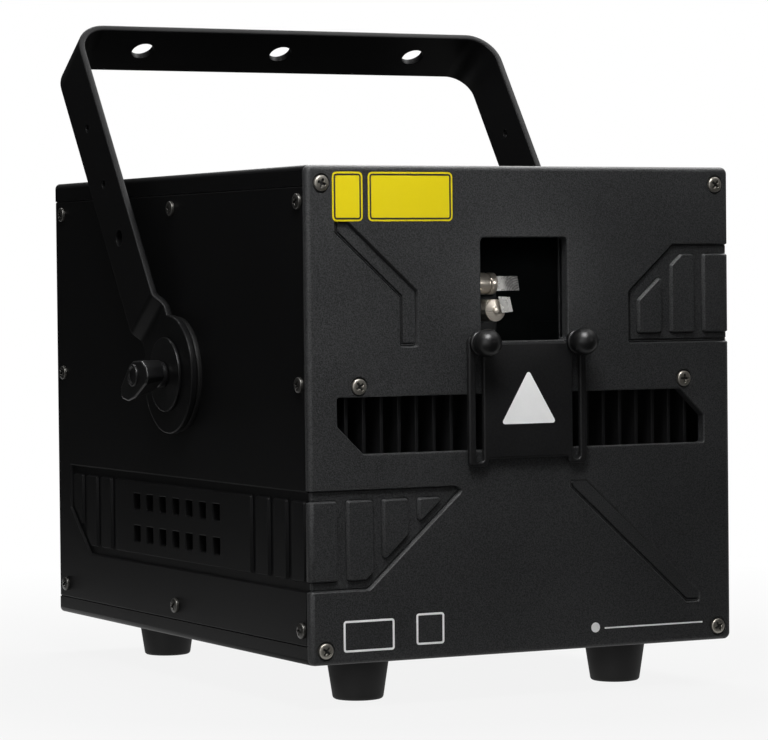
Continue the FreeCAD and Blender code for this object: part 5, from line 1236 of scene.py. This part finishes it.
def card(name, place, turn, size, material):
    mesh = bpy.data.meshes.new(name)
    w, h = size[0] / 2, size[1] / 2
    corners = [Vector(place) + turn @ Vector((x, y, 0)) for x, y in ((-w, -h), (w, -h), (w, h), (-w, h))]
    mesh.from_pydata(corners, [], [(0, 1, 2, 3)])
    mesh.materials.append(material)
    made = placed(name, mesh)
    return made


def softbox(name, place, target, size, power):
    light = bpy.data.lights.new(name, "AREA")
    light.shape, light.size, light.size_y, light.energy = "RECTANGLE", size, size, power
    holder = placed(name, light)
    holder.location = place
    holder.rotation_euler = aim(place, target).to_euler()


def flag(name, place, target, size, roll=0, shading=False, material=darkPrintAndShade):
    # a card that the camera doesn't see: it keeps the white surround out of the black paint, or shades a lamp
    turn = aim(place, target).to_matrix() @ Matrix.Rotation(math.radians(roll), 3, "Z")
    made = card(name, place, turn, size, material)
    made.visible_camera = made.visible_diffuse = False
    made.visible_shadow, made.visible_glossy = shading, not shading


floorMaterial, paint, surface = newPaint("floorMaterial")
spot = paint.spot()
dull, pale = (rgba((tone, tone, tone)) for tone in stage["floorTones"])
paint.feed(surface, {"Base Color": paint.mix(paint.noise(spot, 3.0), dull, pale), "Roughness": 0.9,
                     "Specular IOR Level": 0.0})
away = paint.node("ShaderNodeVectorMath", {"operation": "LENGTH"}, {0: spot}, 1)
glow = paint.node("ShaderNodeMapRange", {}, {"Value": away, "From Min": stage["near"],
                                             "From Max": stage["far"], "To Min": stage["floorGlow"],
                                             "To Max": 1.0})
shown = paint.node("ShaderNodeMixShader", {}, {0: shownRays(paint) * glow, 1: Wire(paint, surface.outputs[0]),
                                               2: paint.white()})
paint.feed(floorMaterial.node_tree.nodes["Material Output"], {"Surface": shown})
card("floor", (0, 0, 0), Matrix.Identity(3), (stage["floor"], stage["floor"]), floorMaterial)

world = bpy.data.worlds.new("studio")
bpy.context.scene.world = world
world.use_nodes = True
paint = Paint(world.node_tree)
ambient = rgba((stage["ambient"],) * 3)
backdrop = paint.mix(shownRays(paint).math("MINIMUM", 1.0), ambient, (1, 1, 1, 1))
paint.feed(world.node_tree.nodes["Background"], {"Color": backdrop, "Strength": 1.0})

whiteCard, paint, surface = newPaint("whiteCard")
paint.feed(whiteCard.node_tree.nodes["Material Output"], {"Surface": paint.white()})

softbox("overhead", (-0.25, -0.62, 1.0), (0, -0.158, 0.15), 0.5, 17.2)
flag("overheadFlag", (0.021, -0.576, 0.399), (-0.229, -1.037, 1.248), (0.5, 0.6), 38, True)
softbox("leftFill", (-2.1, -1.7, 0.8), (0, 0, 0.15), 1.4, 7.5)
softbox("rearSoft", (0.35, 0.95, 1.7), (0, 0.17, 0.15), 0.8, 50)
softbox("rightSoft", (1.05, 0.25, 1.65), (0.12, 0, 0.15), 0.8, 40)
flag("leftFlag", (-1.7, 0.3, 0.6), (0, 0.1, 0.2), (2.2, 2.0))
flag("frontFlag", (0.75, -1.4, 0.4), (0, 0, 0.15), (2.6, 1.8))
flag("leftBackFlag", (-0.85, 1.25, 0.5), (0, 0.05, 0.2), (2.4, 1.8))
flag("rightBackFlag", (1.4, 0.5, 0.5), (0, 0, 0.2), (2.2, 1.8))
flag("backFlag", (0.4, 1.9, 0.7), (0, 0, 0.25), (2.4, 1.9))
flag("topFlag", (0.9, 0.1, 1.5), (0, 0, 0.2), (1.4, 1.6))
flag("lowFlag", (0.6, -1.05, 0.004), (0.6, -1.05, 1), (3.4, 1.7))
flag("lowLeftFlag", (-1.2, 0.75, 0.004), (-1.2, 0.75, 1), (2.0, 1.8))
flag("glintCard", (-0.3, 0.13, 0.008), (-0.3, 0.13, 1), (0.14, 0.2), material=whiteCard)
flag("lowRightFlag", (1.0, 0.8, 0.004), (1.0, 0.8, 1), (2.0, 1.6))

spotlight = {"place": (0.35, -0.85, 0.36), "target": (-0.012, -0.135, 0.208), "power": 12, "angle": 3.2,
             "blend": 0.4, "soft": 0.03}
beam = bpy.data.lights.new("apertureLight", "SPOT")
beam.energy, beam.spot_size = spotlight["power"], math.radians(spotlight["angle"])
beam.spot_blend, beam.shadow_soft_size = spotlight["blend"], spotlight["soft"]
beamHolder = placed("apertureLight", beam)
beamHolder.location = spotlight["place"]
beamHolder.rotation_euler = aim(spotlight["place"], spotlight["target"]).to_euler()

view = {"eye": (-0.86083, -1.68292, 0.21651), "right": (0.89022, -0.45542, -0.01024),
        "up": (0.02145, 0.01945, 0.99958), "forward": (0.45503, 0.89006, -0.02709), "lens": 159.76,
        "sensor": 36}
camera = bpy.data.cameras.new("camera")
camera.lens, camera.sensor_width = view["lens"], view["sensor"]
holder = placed("camera", camera)
turn = Matrix((Vector(view["right"]), Vector(view["up"]), -Vector(view["forward"]))).transposed()
holder.matrix_world = Matrix.Translation(view["eye"]) @ turn.to_4x4()
bpy.context.scene.camera = holder
bpy.context.scene.view_settings.view_transform = "Standard"

print("stage: light and camera")
